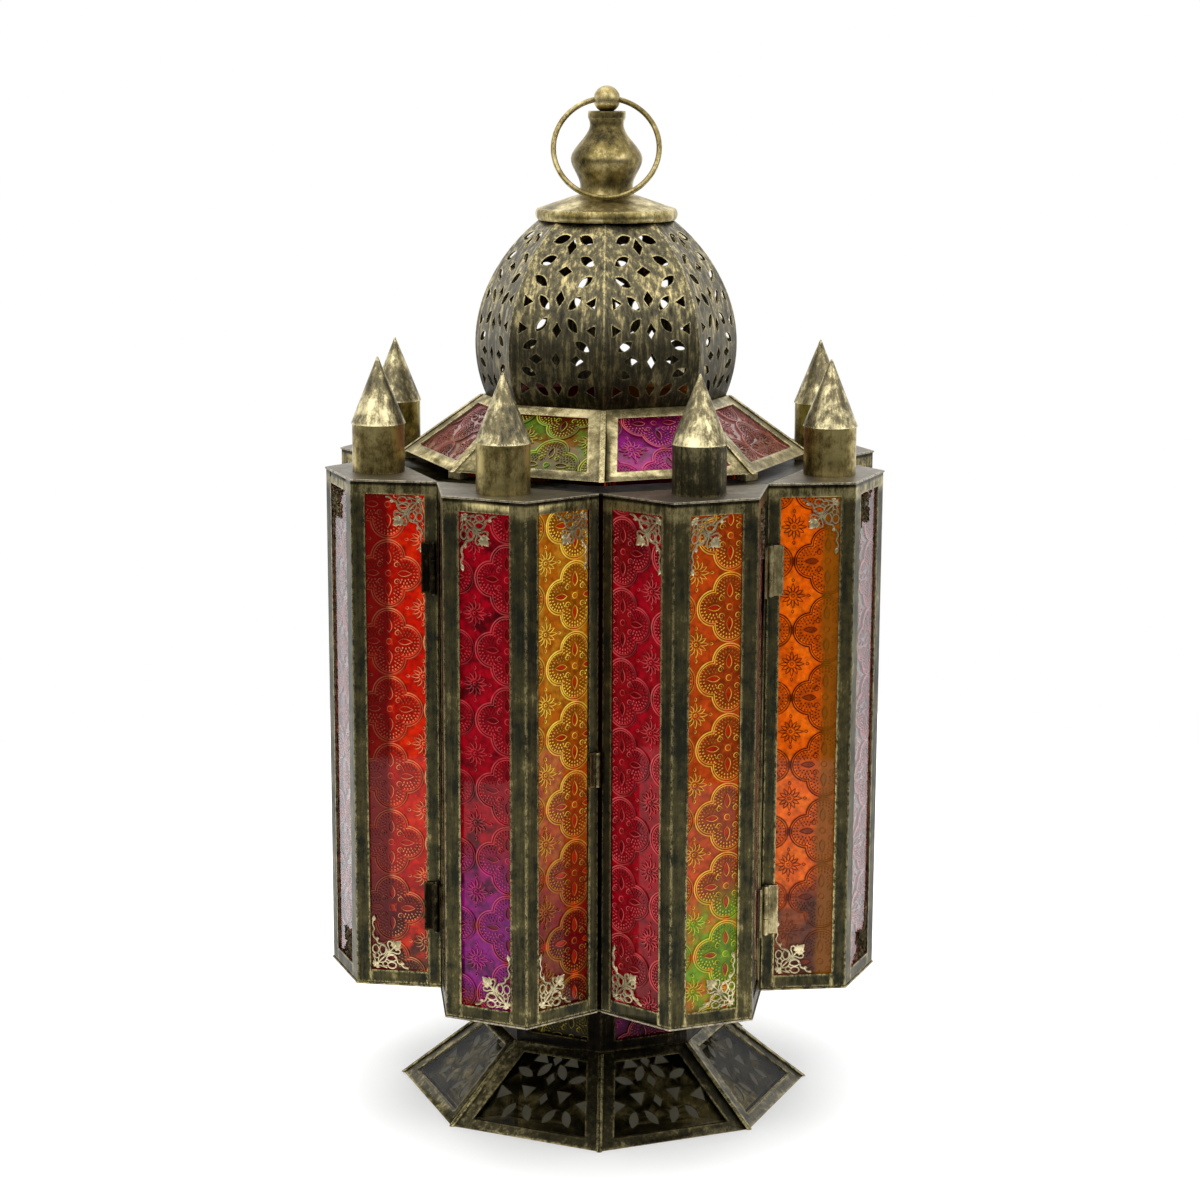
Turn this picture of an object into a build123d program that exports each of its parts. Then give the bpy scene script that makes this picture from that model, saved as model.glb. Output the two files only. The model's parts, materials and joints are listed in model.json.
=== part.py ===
from build123d import *
import os
from math import acos, atan2, copysign, cos, degrees, hypot, radians, sin, sqrt, tan

# Standing lantern of brass sheet and pressed glass: a flared foot, a neck, a ring of glazed
# turrets of which the two front ones are doors, a glazed roof, a pierced dome and a ring.
# Millimetres, +Z up, origin on the ground under the middle. The doors face -Y.
# Azimuths are degrees from -Y towards +X.

# Sheet, glass and clearances
SIDES = 8
SHEET = 0.8
PANE = 3.0
PANE_ROOM = 0.8
RUNNING_CLEAR = 0.05
SIDE_CLEAR = 0.25

# Turrets
FACE = 35.5
TURRET_HEIGHT = 211.0
OUTER_LEG = 6.8
SLANT_LEG = 5.8
VALLEY_STRIP = 5.5
TOP_RAIL = 5.0
BOTTOM_RAIL = 5.5
PLATE_LIP = 0.5
TURRET_GAP = 0.1
LINTEL_WIDTH = 16.0

# Doors, hinges and catch
DOOR_HINGE_GAP = 0.3
DOOR_FREE_GAP = 0.7
DOOR_CHORD_GAP = 0.5
KNUCKLE_R = 1.4
KNUCKLE_CLEAR = 0.35
PIN_R = 0.7
PIN_STAND = 0.5
HINGE_HEIGHT = 20.5
LOW_HINGE_RISE = 35.0
HIGH_HINGE_DROP = 35.0
LEAF_WIDTH = 4.0
CATCH_HEIGHT = 14.0
CATCH_WIDTH = 4.5
CATCH_LIP_R = 1.1
CATCH_RISE = 94.0

# Pinnacles
PINNACLE_SETBACK = 2.4
BARREL_R = 10.6
BARREL_HEIGHT = 19.5
CONE_RIM = 0.5
CONE_HEIGHT = 27.0
CONE_TIP_R = 0.3

# Filigree corners
FILIGREE = 0.6
FILIGREE_CLEAR = 0.15
FILIGREE_REACH = 13.0

# Foot and neck, radii to the corners
FOOT_R = 88.0
FOOT_HEIGHT = 28.5
NECK_R = 51.0
NECK_HEIGHT = 33.5
SIDE_STRIP = 6.0
FOOT_RAIL = 5.0
RIDGE_WIDTH = 2.4
RIDGE_RISE = 0.6
FOOT_PETAL = (8.6, 4.0)
FOOT_TRIANGLE = (6.4, 7.2)

# Candle pan and cup
PAN_R = 34.0
PAN_RIM = 6.0
CUP_R = 12.0
CUP_HEIGHT = 22.0

# Roof, radii to the corners
EAVE_SETBACK = 7.8
EAVE_GAP = 3.0
ROOF_HEIGHT = 24.0
ROOF_TOP_R = 51.6
ROOF_RAIL = 5.0
TAB_WIDTH = 7.0
TAB_DEPTH = 5.0

# Dome, radii to the corners
DOME_SETBACK = 1.4
DOME_SWELL = 4.3
DOME_BELLY_RISE = 21.5
DOME_SHOULDER_DROP = 32.7
DOME_HEIGHT = 72.7
DOME_TOP_R = 27.6
PETAL = (7.2, 3.4)
TALL_DIAMOND = (4.3, 6.6)
WIDE_DIAMOND = (6.4, 4.2)
TRIANGLE = (4.2, 5.0)

# Cap, finial, ball and ring
CAP_OVERHANG = 1.8
CAP_RIM = 4.5
CAP_ROUND = 0.8
CAP_CONE = 5.6
CAP_SEAT_MARGIN = 0.4
CAP_SKIN = 1.2
FINIAL_FOOT_R = 11.6
FINIAL_WAIST_R = 11.0
FINIAL_BULB_R = 14.7
FINIAL_NECK_R = 7.0
FINIAL_LIP_R = 7.7
FINIAL_HEIGHT = 34.0
FINIAL_LIP = 2.8
STEM_R = 2.5
STEM_TAIL = 7.0
NUT_FLATS = 8.0
NUT_HEIGHT = 3.5
BALL_R = 5.5
BALL_FLAT_R = 2.8
RING_R = 21.6
RING_WIRE_R = 1.1
RING_CLEAR = 0.3

# Angles that follow from the number of sides; the turrets are half hexagons
STEP = 360 / SIDES
HALF = STEP / 2
SLANT = 60.0
VALLEY_HALF = SLANT / 2 + HALF

# Places that follow from the sizes
VALLEY_APOTHEM = FACE / tan(radians(HALF))
VALLEY_R = FACE / sin(radians(HALF))
OUTER_APOTHEM = VALLEY_APOTHEM + FACE * sin(radians(SLANT))
EAVE_R = VALLEY_R - EAVE_SETBACK
DOME_BASE_R = ROOF_TOP_R - DOME_SETBACK
DOME_BELLY_R = DOME_BASE_R + DOME_SWELL
CAP_R = DOME_TOP_R + CAP_OVERHANG
CAP_SEAT = FINIAL_FOOT_R + CAP_SEAT_MARGIN
REACH = VALLEY_R + OUTER_APOTHEM + FOOT_R
TURRET_BASE = FOOT_HEIGHT + NECK_HEIGHT
TURRET_TOP = TURRET_BASE + TURRET_HEIGHT
FRAME_LOW = TURRET_BASE + SHEET
FRAME_HIGH = TURRET_TOP - SHEET
EAVE = TURRET_TOP + EAVE_GAP
ROOF_TOP = EAVE + ROOF_HEIGHT
DOME_TOP = ROOF_TOP + DOME_HEIGHT
CAP_RIM_TOP = DOME_TOP + CAP_RIM
CAP_TOP = CAP_RIM_TOP + CAP_CONE
FINIAL_TOP = CAP_TOP + FINIAL_HEIGHT
BALL_Z = FINIAL_TOP + sqrt(BALL_R**2 - BALL_FLAT_R**2)
SKY = BALL_Z + 2 * RING_R + BALL_R
PANEL_AZIMUTHS = [STEP * (k + 0.5) for k in range(SIDES)]
CORNER_AZIMUTHS = [STEP * k for k in range(SIDES)]
FIXED_AZIMUTHS = [-STEP * (k + 1.5) for k in range(SIDES - 2)]
LEFT_DOOR = -HALF
RIGHT_DOOR = HALF


def turn(azimuth):
    """Rotation that carries the +X direction to an azimuth."""
    return Rot(0, 0, azimuth - 90)


def around(piece, azimuths):
    """Copies of a piece drawn about +X, one at each azimuth."""
    return [turn(azimuth) * piece for azimuth in azimuths]


def prism(outline, low, high):
    """Upright solid over a closed plan outline."""
    return Pos(0, 0, low) * extrude(make_face(Polyline(*outline, close=True)), high - low)


def sector(inset=0.0, low=0.0, high=SKY):
    """Wedge that one panel takes about +X, its two sides drawn in by an inset."""
    tip = inset / sin(radians(HALF))
    spread = (REACH - tip) * tan(radians(HALF))
    return prism([(tip, 0), (REACH, spread), (REACH, -spread)], low, high)


def revolved(outline):
    """Solid turned about Z from a closed outline of radius and height."""
    return revolve(Plane.XZ * make_face(Polyline(*outline, close=True)), Axis.Z)


def tube(outer, inner, low, high):
    """Round tube about Z."""
    return Pos(0, 0, (low + high) / 2) * (Cylinder(outer, high - low) - Cylinder(inner, high - low))


def save(name, shapes):
    """Write one node as the solids of its shapes."""
    solids = [solid for shape in shapes for solid in shape.solids()]
    export_step(Compound(solids), os.path.join("parts", name + ".step"))


# Pierced shapes, drawn about their own middle

def petal(length, width):
    """Leaf between two equal arcs."""
    upper = ThreePointArc((-length / 2, 0), (0, width / 2), (length / 2, 0))
    lower = ThreePointArc((length / 2, 0), (0, -width / 2), (-length / 2, 0))
    return make_face([upper, lower])


def diamond(width, height):
    """Upright rhombus."""
    corners = [(-width / 2, 0), (0, height / 2), (width / 2, 0), (0, -height / 2)]
    return make_face(Polyline(*corners, close=True))


def triangle(width, height):
    """Triangle that points along -x."""
    corners = [(-width / 2, 0), (width / 2, height / 2), (width / 2, -height / 2)]
    return make_face(Polyline(*corners, close=True))


# Leaning panels of the foot, the neck and the roof

class Panel:
    """One flat side between two octagons, each given as corner radius and height."""

    def __init__(self, foot_r, foot_z, head_r, head_z):
        self.foot = foot_r * cos(radians(HALF))
        self.head = head_r * cos(radians(HALF))
        self.low = foot_z
        self.high = head_z
        self.slant = hypot(self.foot - self.head, head_z - foot_z)
        self.level = self.slant / (head_z - foot_z)

    def slab(self, near, far):
        """Leaning sheet between two depths behind the outside, cut level at both ends."""
        outline = [
            (self.foot - near * self.level, self.low),
            (self.foot - far * self.level, self.low),
            (self.head - far * self.level, self.high),
            (self.head - near * self.level, self.high),
        ]
        section = Plane.XZ * make_face(Polyline(*outline, close=True))
        return extrude(section, REACH, both=True)

    def rise(self, width):
        """Height that a width up the slope takes."""
        return width / self.level

    def frame(self, rail):
        """Sheet frame with a window between its side strips and rails."""
        window = sector(SIDE_STRIP, self.low + self.rise(rail), self.high - self.rise(rail))
        return (self.slab(0, SHEET) & sector()) - window

    def pane(self, rail):
        """Glass behind the frame, lapped half-way under the strips and rails."""
        lap = self.rise(rail) / 2
        glass = self.slab(SHEET, SHEET + PANE)
        return glass & sector(SIDE_STRIP / 2, self.low + lap, self.high - lap)

    def ridge(self):
        """Folded strip that stands proud along one side of the seam between two panels."""
        seam = sector() - sector(RIDGE_WIDTH / 2)
        return (self.slab(-RIDGE_RISE, 0) & seam).solids().sort_by(Axis.Y)[-1]

    def ridges(self):
        """Both halves of the strip over each seam."""
        half = self.ridge()
        return around(half, PANEL_AZIMUTHS) + around(mirror(half, Plane.XZ), PANEL_AZIMUTHS)

    def plane(self, depth):
        """Drawing plane at a depth behind the outside, x to the right and y up the slope."""
        origin = (self.foot - depth * self.level, 0, self.low)
        lean = atan2(self.foot - self.head, self.high - self.low)
        return Plane(origin=origin, x_dir=(0, 1, 0), z_dir=(cos(lean), 0, sin(lean)))


FOOT = Panel(FOOT_R, 0.0, NECK_R, FOOT_HEIGHT)
NECK = Panel(NECK_R, FOOT_HEIGHT, NECK_R, TURRET_BASE)
ROOF = Panel(EAVE_R, EAVE, ROOF_TOP_R, ROOF_TOP)


def foot_lattice():
    """Pierced sheet behind a foot pane; places are shares of its half width and height."""
    depth = SHEET + PANE
    low = FOOT_RAIL / 2
    high = FOOT.slant - FOOT_RAIL / 2
    slope = (FOOT.foot - FOOT.head) * tan(radians(HALF)) / FOOT.slant

    def half_width(y):
        return (FOOT.foot - depth * FOOT.level) * tan(radians(HALF)) - slope * y - SIDE_STRIP / 2

    outline = [
        (-half_width(low), low),
        (half_width(low), low),
        (half_width(high), high),
        (-half_width(high), high),
    ]
    sheet = make_face(Polyline(*outline, close=True))
    petals = [(0.20, 0.17, 62), (0.52, 0.17, -62), (0.22, 0.70, -58), (0.62, 0.64, 24)]
    triangles = [(0.36, 0.40, 90), (0.76, 0.36, 0), (0.42, 0.86, -90)]
    diamonds = [(0.0, 0.36), (0.0, 0.60), (0.0, 0.84)]
    holes = []
    for across, up, tilt in petals:
        holes += pair(petal(*FOOT_PETAL), across, up, tilt, low, high, half_width)
    for across, up, tilt in triangles:
        holes += pair(triangle(*FOOT_TRIANGLE), across, up, tilt, low, high, half_width)
    for across, up in diamonds:
        holes.append(Pos(0, low + up * (high - low)) * diamond(*TALL_DIAMOND))
    return FOOT.plane(depth) * extrude(sheet - holes, -SHEET)


def pair(shape, across, up, tilt, low, high, half_width):
    """A hole and its mirror image, placed by shares of a panel's half width and height."""
    y = low + up * (high - low)
    right = Pos(across * half_width(y), y) * Rot(0, 0, tilt) * shape
    return [right, mirror(right, Plane.YZ)]


# Turrets

def plan(azimuth, r, t):
    """Ground point at a distance along an azimuth and t to the right seen from outside."""
    a = radians(azimuth)
    return (r * sin(a) + t * cos(a), -r * cos(a) + t * sin(a))


def upright(azimuth, r, t, facing):
    """Upright drawing plane, x to the right seen from outside and y the height."""
    n = radians(facing)
    x, y = plan(azimuth, r, t)
    return Plane(origin=(x, y, 0), x_dir=(cos(n), sin(n), 0), z_dir=(sin(n), -cos(n), 0))


def block(plane, left, right, low, high, near, far):
    """Flat piece on a drawing plane, between two depths behind it."""
    middle = Pos((left + right) / 2, (low + high) / 2, -(near + far) / 2)
    return plane.location * middle * Box(right - left, high - low, far - near)


class Turret:
    """Half of a hexagonal prism; the gaps are to the seams with its two neighbours."""

    def __init__(self, azimuth, left_gap, right_gap, chord_gap):
        self.azimuth = azimuth
        self.gaps = {-1: left_gap, 1: right_gap}
        self.chord = VALLEY_APOTHEM + chord_gap
        middle = (OUTER_APOTHEM + VALLEY_APOTHEM) / 2
        aside = FACE * (1 + cos(radians(SLANT))) / 2
        self.outer = upright(azimuth, OUTER_APOTHEM, 0, azimuth)
        self.slants = {
            side: upright(azimuth, middle, side * aside, azimuth + side * SLANT) for side in (-1, 1)
        }

    def inset(self, side):
        """Distance along a slanted face from the seam to the metal."""
        return self.gaps[side] / sin(radians(VALLEY_HALF))

    def span(self, side, from_corner, from_seam):
        """Left and right ends on a slanted face, measured in from its corner and its seam."""
        ends = sorted((-side * (FACE / 2 - from_corner), side * (FACE / 2 - from_seam)))
        return ends[0], ends[1]

    def corner_angle(self, side):
        """Folded strip round one outer corner."""
        corner = Vector(OUTER_APOTHEM, side * FACE / 2)
        back = Vector(-sin(radians(SLANT)), side * cos(radians(SLANT)))
        out = Vector(cos(radians(SLANT)), side * sin(radians(SLANT)))
        on_outer = corner + Vector(0, -side) * OUTER_LEG
        on_slant = corner + back * SLANT_LEG
        inside = corner - Vector(1, side * tan(radians(SLANT / 2))) * SHEET
        ring = [on_outer, corner, on_slant, on_slant - out * SHEET, inside, on_outer - Vector(SHEET, 0)]
        return prism([plan(self.azimuth, p.X, p.Y) for p in ring], FRAME_LOW, FRAME_HIGH)

    def rails(self, plane, left, right):
        """Top and bottom rails tucked between two upright strips."""
        return [
            block(plane, left, right, FRAME_LOW, FRAME_LOW + BOTTOM_RAIL, 0, SHEET),
            block(plane, left, right, FRAME_HIGH - TOP_RAIL, FRAME_HIGH, 0, SHEET),
        ]

    def frame(self):
        """Corner angles, valley strips and rails."""
        pieces = self.rails(self.outer, OUTER_LEG - FACE / 2, FACE / 2 - OUTER_LEG)
        for side, plane in self.slants.items():
            pieces.append(self.corner_angle(side))
            strip = self.span(side, FACE - VALLEY_STRIP, self.inset(side))
            pieces.append(block(plane, *strip, FRAME_LOW, FRAME_HIGH, 0, SHEET))
            pieces += self.rails(plane, *self.span(side, SLANT_LEG, VALLEY_STRIP))
        return pieces

    def glass(self):
        """Three panes behind the strips."""
        edge = (SHEET + PANE) * tan(radians(SLANT / 2)) + PANE_ROOM
        heights = (FRAME_LOW + PANE_ROOM, FRAME_HIGH - PANE_ROOM)
        depths = (SHEET, SHEET + PANE)
        panes = [block(self.outer, edge - FACE / 2, FACE / 2 - edge, *heights, *depths)]
        for side, plane in self.slants.items():
            width = self.span(side, edge, self.inset(side) + PANE_ROOM)
            panes.append(block(plane, *width, *heights, *depths))
        return panes

    def plate(self, low):
        """Level plate that closes the turret, a little proud of its faces."""
        ring = []
        for side in (-1, 1):
            gap = self.gaps[side] / cos(radians(HALF))
            slope = tan(radians(HALF))
            rise = sin(radians(SLANT))
            run = cos(radians(SLANT))
            along = (PLATE_LIP * (rise - run * slope) + gap) / (run + rise * slope)
            inner = Vector(self.chord, side * (self.chord * slope - gap))
            seam = Vector(VALLEY_APOTHEM, side * FACE) + Vector(run, side * rise) * PLATE_LIP
            seam += Vector(rise, -side * run) * along
            lip = Vector(1, side * tan(radians(SLANT / 2))) * PLATE_LIP
            corner = Vector(OUTER_APOTHEM, side * FACE / 2) + lip
            ring.append([inner, seam, corner])
        outline = ring[0] + ring[1][::-1]
        return prism([plan(self.azimuth, p.X, p.Y) for p in outline], low, low + SHEET)

    def pinnacle_seat(self):
        """Where the pinnacle stands on the top plate."""
        inner = VALLEY_APOTHEM + DOOR_CHORD_GAP + PINNACLE_SETBACK
        x, y = plan(self.azimuth, inner + BARREL_R, 0)
        return Pos(x, y, TURRET_TOP)

    def barrel(self):
        """Rolled barrel of the pinnacle."""
        return self.pinnacle_seat() * tube(BARREL_R, BARREL_R - SHEET, 0, BARREL_HEIGHT)

    def cone(self):
        """Hollow cone of the pinnacle."""
        rim = BARREL_R + CONE_RIM
        outline = [
            (BARREL_R - SHEET / 2, 0),
            (rim, 0),
            (CONE_TIP_R, CONE_HEIGHT),
            (0, CONE_HEIGHT),
            (0, CONE_HEIGHT * (1 - 2 * SHEET / rim)),
        ]
        return self.pinnacle_seat() * Pos(0, 0, BARREL_HEIGHT) * revolved(outline)

    def filigree(self, corner):
        """Two openwork corners on each pane, at opposite ends of a diagonal."""
        pieces = self.corners(corner, self.outer, OUTER_LEG - FACE / 2, FACE / 2 - OUTER_LEG, 1)
        for side, plane in self.slants.items():
            left, right = self.span(side, SLANT_LEG, VALLEY_STRIP)
            pieces += self.corners(corner, plane, left, right, -1)
        return pieces

    def corners(self, corner, plane, left, right, hand):
        """One ornament at the top and one at the bottom; hand 1 starts at the top left."""
        flipped = mirror(corner, Plane.YZ)
        upper = FRAME_HIGH - TOP_RAIL
        lower = FRAME_LOW + BOTTOM_RAIL
        first = corner if hand > 0 else flipped
        second = Rot(0, 0, 180) * first
        ends = (left, right) if hand > 0 else (right, left)
        return [
            plane.location * Pos(ends[0], upper, -SHEET) * first,
            plane.location * Pos(ends[1], lower, -SHEET) * second,
        ]


def filigree_corner():
    """Openwork of rings and leaves that grows from its own corner; places are shares of its reach."""
    size = FILIGREE_REACH
    wire = 0.07 * size
    drop = 1.38 * size
    edge = FILIGREE_CLEAR + wire / 2
    shape = Pos(size / 2, -edge) * Rectangle(size - 2 * FILIGREE_CLEAR, wire)
    shape += Pos(edge, -drop / 2) * Rectangle(wire, drop - 2 * FILIGREE_CLEAR)
    loops = [(0.25, 0.25, 0.19), (0.62, 0.22, 0.16), (0.22, 0.63, 0.16), (0.485, 0.485, 0.17)]
    for across, down, radius in loops:
        place = Pos(across * size, -down * size)
        shape += place * (Circle(radius * size) - Circle(radius * size - wire))
    leaves = [(0.86, 0.29, -35), (0.72, 0.69, -45), (0.355, 0.89, -60), (0.10, 1.12, -80)]
    for across, down, tilt in leaves:
        place = Pos(across * size, -down * size)
        shape += place * Rot(0, 0, tilt) * petal(0.39 * size, 0.15 * size)
    inside = Pos(FILIGREE_CLEAR + size / 2, -FILIGREE_CLEAR - drop / 2) * Rectangle(size, drop)
    return extrude(shape & inside, FILIGREE)


# Hinges and catch

HINGE_STANDOFF = KNUCKLE_R + KNUCKLE_CLEAR
HINGE_FOOT = HINGE_STANDOFF / tan(radians(VALLEY_HALF))
HINGE_AXIS_R = VALLEY_R + HINGE_STANDOFF / sin(radians(VALLEY_HALF))
HINGE_HEIGHTS = [TURRET_BASE + LOW_HINGE_RISE, TURRET_TOP - HIGH_HINGE_DROP]
KNUCKLE_HEIGHT = (HINGE_HEIGHT - 2 * SIDE_CLEAR) / 3
KNUCKLE_PITCH = KNUCKLE_HEIGHT + SIDE_CLEAR


def hinge_leaf(turret, side, middle, rows):
    """Leaf on a slanted face at the seam, rolled round the pin at the given knuckle rows."""
    plane = turret.slants[side]
    foot = side * (FACE / 2 - HINGE_FOOT)
    clear = side * (FACE / 2 - HINGE_FOOT - KNUCKLE_R)
    end = side * (FACE / 2 - HINGE_FOOT - KNUCKLE_R - LEAF_WIDTH)
    low = middle - HINGE_HEIGHT / 2
    body = block(plane, *sorted((clear, end)), low, low + HINGE_HEIGHT, -SHEET, 0)
    bores = []
    for row in rows:
        y = middle + row * KNUCKLE_PITCH
        neck_ends = sorted((foot, clear))
        half = KNUCKLE_HEIGHT / 2
        body += block(plane, *neck_ends, y - half, y + half, -SHEET, 0)
        place = plane.location * Pos(foot, y, HINGE_STANDOFF) * Rot(90, 0, 0)
        body += place * Cylinder(KNUCKLE_R, KNUCKLE_HEIGHT)
        bores.append(place * Cylinder(PIN_R + RUNNING_CLEAR, KNUCKLE_HEIGHT))
    return body - bores


def hinge_pin(side, middle):
    """Pin of one hinge, standing a little out of both end knuckles."""
    x, y = plan(side * STEP, HINGE_AXIS_R, 0)
    return Pos(x, y, middle) * Cylinder(PIN_R, HINGE_HEIGHT + 2 * PIN_STAND)


def door_catch(turret):
    """Sheet clip on the free edge of the left door, with a lip rolled over the seam."""
    plane = turret.slants[1]
    edge = FACE / 2 - turret.inset(1)
    low = TURRET_BASE + CATCH_RISE
    clip = block(plane, edge - CATCH_WIDTH, edge, low, low + CATCH_HEIGHT, -SHEET, 0)
    place = plane.location * Pos(edge - CATCH_LIP_R, low + CATCH_HEIGHT / 2, CATCH_LIP_R)
    return clip + place * Rot(90, 0, 0) * Cylinder(CATCH_LIP_R, CATCH_HEIGHT)


# Dome

def arc_x(centre, radius, z):
    """Distance from the axis on an arc at a height; a hollow arc has a negative radius."""
    return centre.X + copysign(sqrt(radius**2 - (z - centre.Y) ** 2), radius)


class Dome:
    """Bent gore whose upright section is a belly arc and a tangent shoulder arc."""

    def __init__(self):
        scale = cos(radians(HALF))
        base = DOME_BASE_R * scale
        belly = DOME_BELLY_R * scale
        bulge = belly - base
        self.belly_radius = (DOME_BELLY_RISE**2 + bulge**2) / (2 * bulge)
        self.belly_centre = Vector(belly - self.belly_radius, ROOF_TOP + DOME_BELLY_RISE)
        self.shoulder = DOME_TOP - DOME_SHOULDER_DROP
        joint = Vector(self.belly_x(self.shoulder, 0), self.shoulder)
        inward = (self.belly_centre - joint).normalized()
        rest = Vector(DOME_TOP_R * scale, DOME_TOP) - joint
        self.shoulder_radius = rest.dot(rest) / (2 * inward.dot(rest))
        self.shoulder_centre = joint + inward * self.shoulder_radius
        self.inward = inward
        self.joint = joint

    def belly_x(self, z, depth):
        """Distance from the axis on the belly arc, at a depth behind the outside."""
        return arc_x(self.belly_centre, self.belly_radius - depth, z)

    def shoulder_x(self, z, depth):
        """Distance from the axis on the shoulder arc, at a depth behind the outside."""
        return arc_x(self.shoulder_centre, self.shoulder_radius - depth, z)

    def apothem(self, z):
        """Distance from the axis to the middle of the gore."""
        return self.belly_x(z, 0) if z < self.shoulder else self.shoulder_x(z, 0)

    def line(self, depth):
        """Ends and middles of the two arcs at a depth, from the bottom up."""
        joint = self.joint + self.inward * depth
        low_mid = (ROOF_TOP + joint.Y) / 2
        high_mid = (DOME_TOP + joint.Y) / 2
        return [
            (self.belly_x(ROOF_TOP, depth), ROOF_TOP),
            (self.belly_x(low_mid, depth), low_mid),
            (joint.X, joint.Y),
            (self.shoulder_x(high_mid, depth), high_mid),
            (self.shoulder_x(DOME_TOP, depth), DOME_TOP),
        ]

    def holes(self):
        """Pierced pattern; places are shares of the half width and of the height."""
        petals = [
            (0.40, 0.911, -17),
            (0.53, 0.800, -24),
            (0.54, 0.692, 32),
            (0.345, 0.578, 48),
            (0.33, 0.458, -50),
            (0.55, 0.347, -29),
            (0.595, 0.194, 22),
            (0.34, 0.098, 45),
        ]
        triangles = [(0.70, 0.580), (0.72, 0.435), (0.70, 0.100)]
        tall = [0.873, 0.600, 0.429, 0.265, 0.111]

        def half_width(z):
            return self.apothem(z) * tan(radians(HALF))

        span = (ROOF_TOP, DOME_TOP, half_width)
        found = []
        for across, up, tilt in petals:
            found += pair(petal(*PETAL), across, up, tilt, *span)
        for across, up in triangles:
            found += pair(triangle(*TRIANGLE), across, up, 0, *span)
        found += pair(diamond(*WIDE_DIAMOND), 0.425, 0.267, 0, *span)
        found.append(Pos(0, ROOF_TOP + 0.744 * DOME_HEIGHT) * diamond(*WIDE_DIAMOND))
        for up in tall:
            found.append(Pos(0, ROOF_TOP + up * DOME_HEIGHT) * diamond(*TALL_DIAMOND))
        return found

    def gore(self):
        """One pierced gore about +X."""
        out = self.line(0)
        back = self.line(SHEET)[::-1]
        edges = [
            ThreePointArc(out[0], out[1], out[2]),
            ThreePointArc(out[2], out[3], out[4]),
            Line(out[4], back[0]),
            ThreePointArc(back[0], back[1], back[2]),
            ThreePointArc(back[2], back[3], back[4]),
            Line(back[4], out[0]),
        ]
        sheet = extrude(Plane.XZ * make_face(edges), REACH, both=True) & sector()
        outside = Plane(origin=(0, 0, 0), x_dir=(0, 1, 0), z_dir=(1, 0, 0))
        cutters = [extrude(outside * hole, REACH) for hole in self.holes()]
        return sheet - cutters


# Cap, finial, ball and ring

def dome_cap():
    """Spun cap with a rounded rim, hollow under its cone."""
    middle = DOME_TOP + CAP_RIM / 2
    bore = STEM_R + RUNNING_CLEAR
    seat = DOME_TOP_R * cos(radians(HALF)) - 4 * SHEET
    rim = CAP_R - CAP_ROUND
    edges = [
        Line((bore, CAP_TOP - CAP_SKIN), (CAP_SEAT - CAP_SKIN, CAP_TOP - CAP_SKIN)),
        Line((CAP_SEAT - CAP_SKIN, CAP_TOP - CAP_SKIN), (seat, DOME_TOP)),
        Line((seat, DOME_TOP), (rim, DOME_TOP)),
        ThreePointArc((rim, DOME_TOP), (CAP_R, middle), (rim, CAP_RIM_TOP)),
        Line((rim, CAP_RIM_TOP), (CAP_SEAT, CAP_TOP)),
        Line((CAP_SEAT, CAP_TOP), (bore, CAP_TOP)),
        Line((bore, CAP_TOP), (bore, CAP_TOP - CAP_SKIN)),
    ]
    return revolve(Plane.XZ * make_face(edges), Axis.Z)


def finial():
    """Turned vase with a bored middle; the heights are shares of the whole."""
    bore = STEM_R + RUNNING_CLEAR
    lip_low = FINIAL_TOP - FINIAL_LIP
    profile = Spline(
        (FINIAL_FOOT_R, CAP_TOP),
        (FINIAL_WAIST_R, CAP_TOP + 0.14 * FINIAL_HEIGHT),
        (FINIAL_BULB_R, CAP_TOP + 0.43 * FINIAL_HEIGHT),
        (FINIAL_NECK_R, CAP_TOP + 0.86 * FINIAL_HEIGHT),
        (FINIAL_LIP_R, lip_low),
    )
    edges = [
        profile,
        Line((FINIAL_LIP_R, lip_low), (FINIAL_LIP_R, FINIAL_TOP)),
        Line((FINIAL_LIP_R, FINIAL_TOP), (bore, FINIAL_TOP)),
        Line((bore, FINIAL_TOP), (bore, CAP_TOP)),
        Line((bore, CAP_TOP), (FINIAL_FOOT_R, CAP_TOP)),
    ]
    return revolve(Plane.XZ * make_face(edges), Axis.Z)


RING_SAG = RING_R - sqrt(RING_R**2 - BALL_R**2)
RING_HOLE_R = RING_WIRE_R + RING_SAG / 2 + RING_CLEAR


def top_ball():
    """Ball with a flat under it and a cross hole that the ring swings in."""
    ball = Pos(0, 0, BALL_Z) * (Sphere(BALL_R) - Rot(0, 90, 0) * Cylinder(RING_HOLE_R, 2 * BALL_R))
    above = Pos(0, 0, FINIAL_TOP + BALL_R) * Box(2 * BALL_R, 2 * BALL_R, 2 * BALL_R)
    return ball & above


def ring_lean():
    """Angle from straight down at which the ring comes to lie on the front of the cap."""
    rim = CAP_R - CAP_ROUND
    slope = atan2(CAP_CONE, rim - CAP_SEAT)
    length = 2 * RING_R - RING_SAG / 2
    drop = (BALL_Z - CAP_RIM_TOP) * cos(slope) - rim * sin(slope) - RING_WIRE_R - RING_CLEAR
    return degrees(acos(drop / length)) - degrees(slope)


def carrying_ring():
    """Wire ring through the ball, lying forward on the cap."""
    lean = radians(ring_lean())
    down = Vector(0, -sin(lean), -cos(lean))
    middle = Vector(0, 0, BALL_Z) + down * (RING_R - RING_SAG / 2)
    plane = Plane(origin=middle, x_dir=(1, 0, 0), z_dir=Vector(1, 0, 0).cross(down))
    return plane.location * Torus(RING_R, RING_WIRE_R)


def finial_stem():
    """Rod from under the nut up to the ball."""
    low = CAP_TOP - CAP_SKIN - STEM_TAIL
    return Pos(0, 0, (low + FINIAL_TOP) / 2) * Cylinder(STEM_R, FINIAL_TOP - low)


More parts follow.
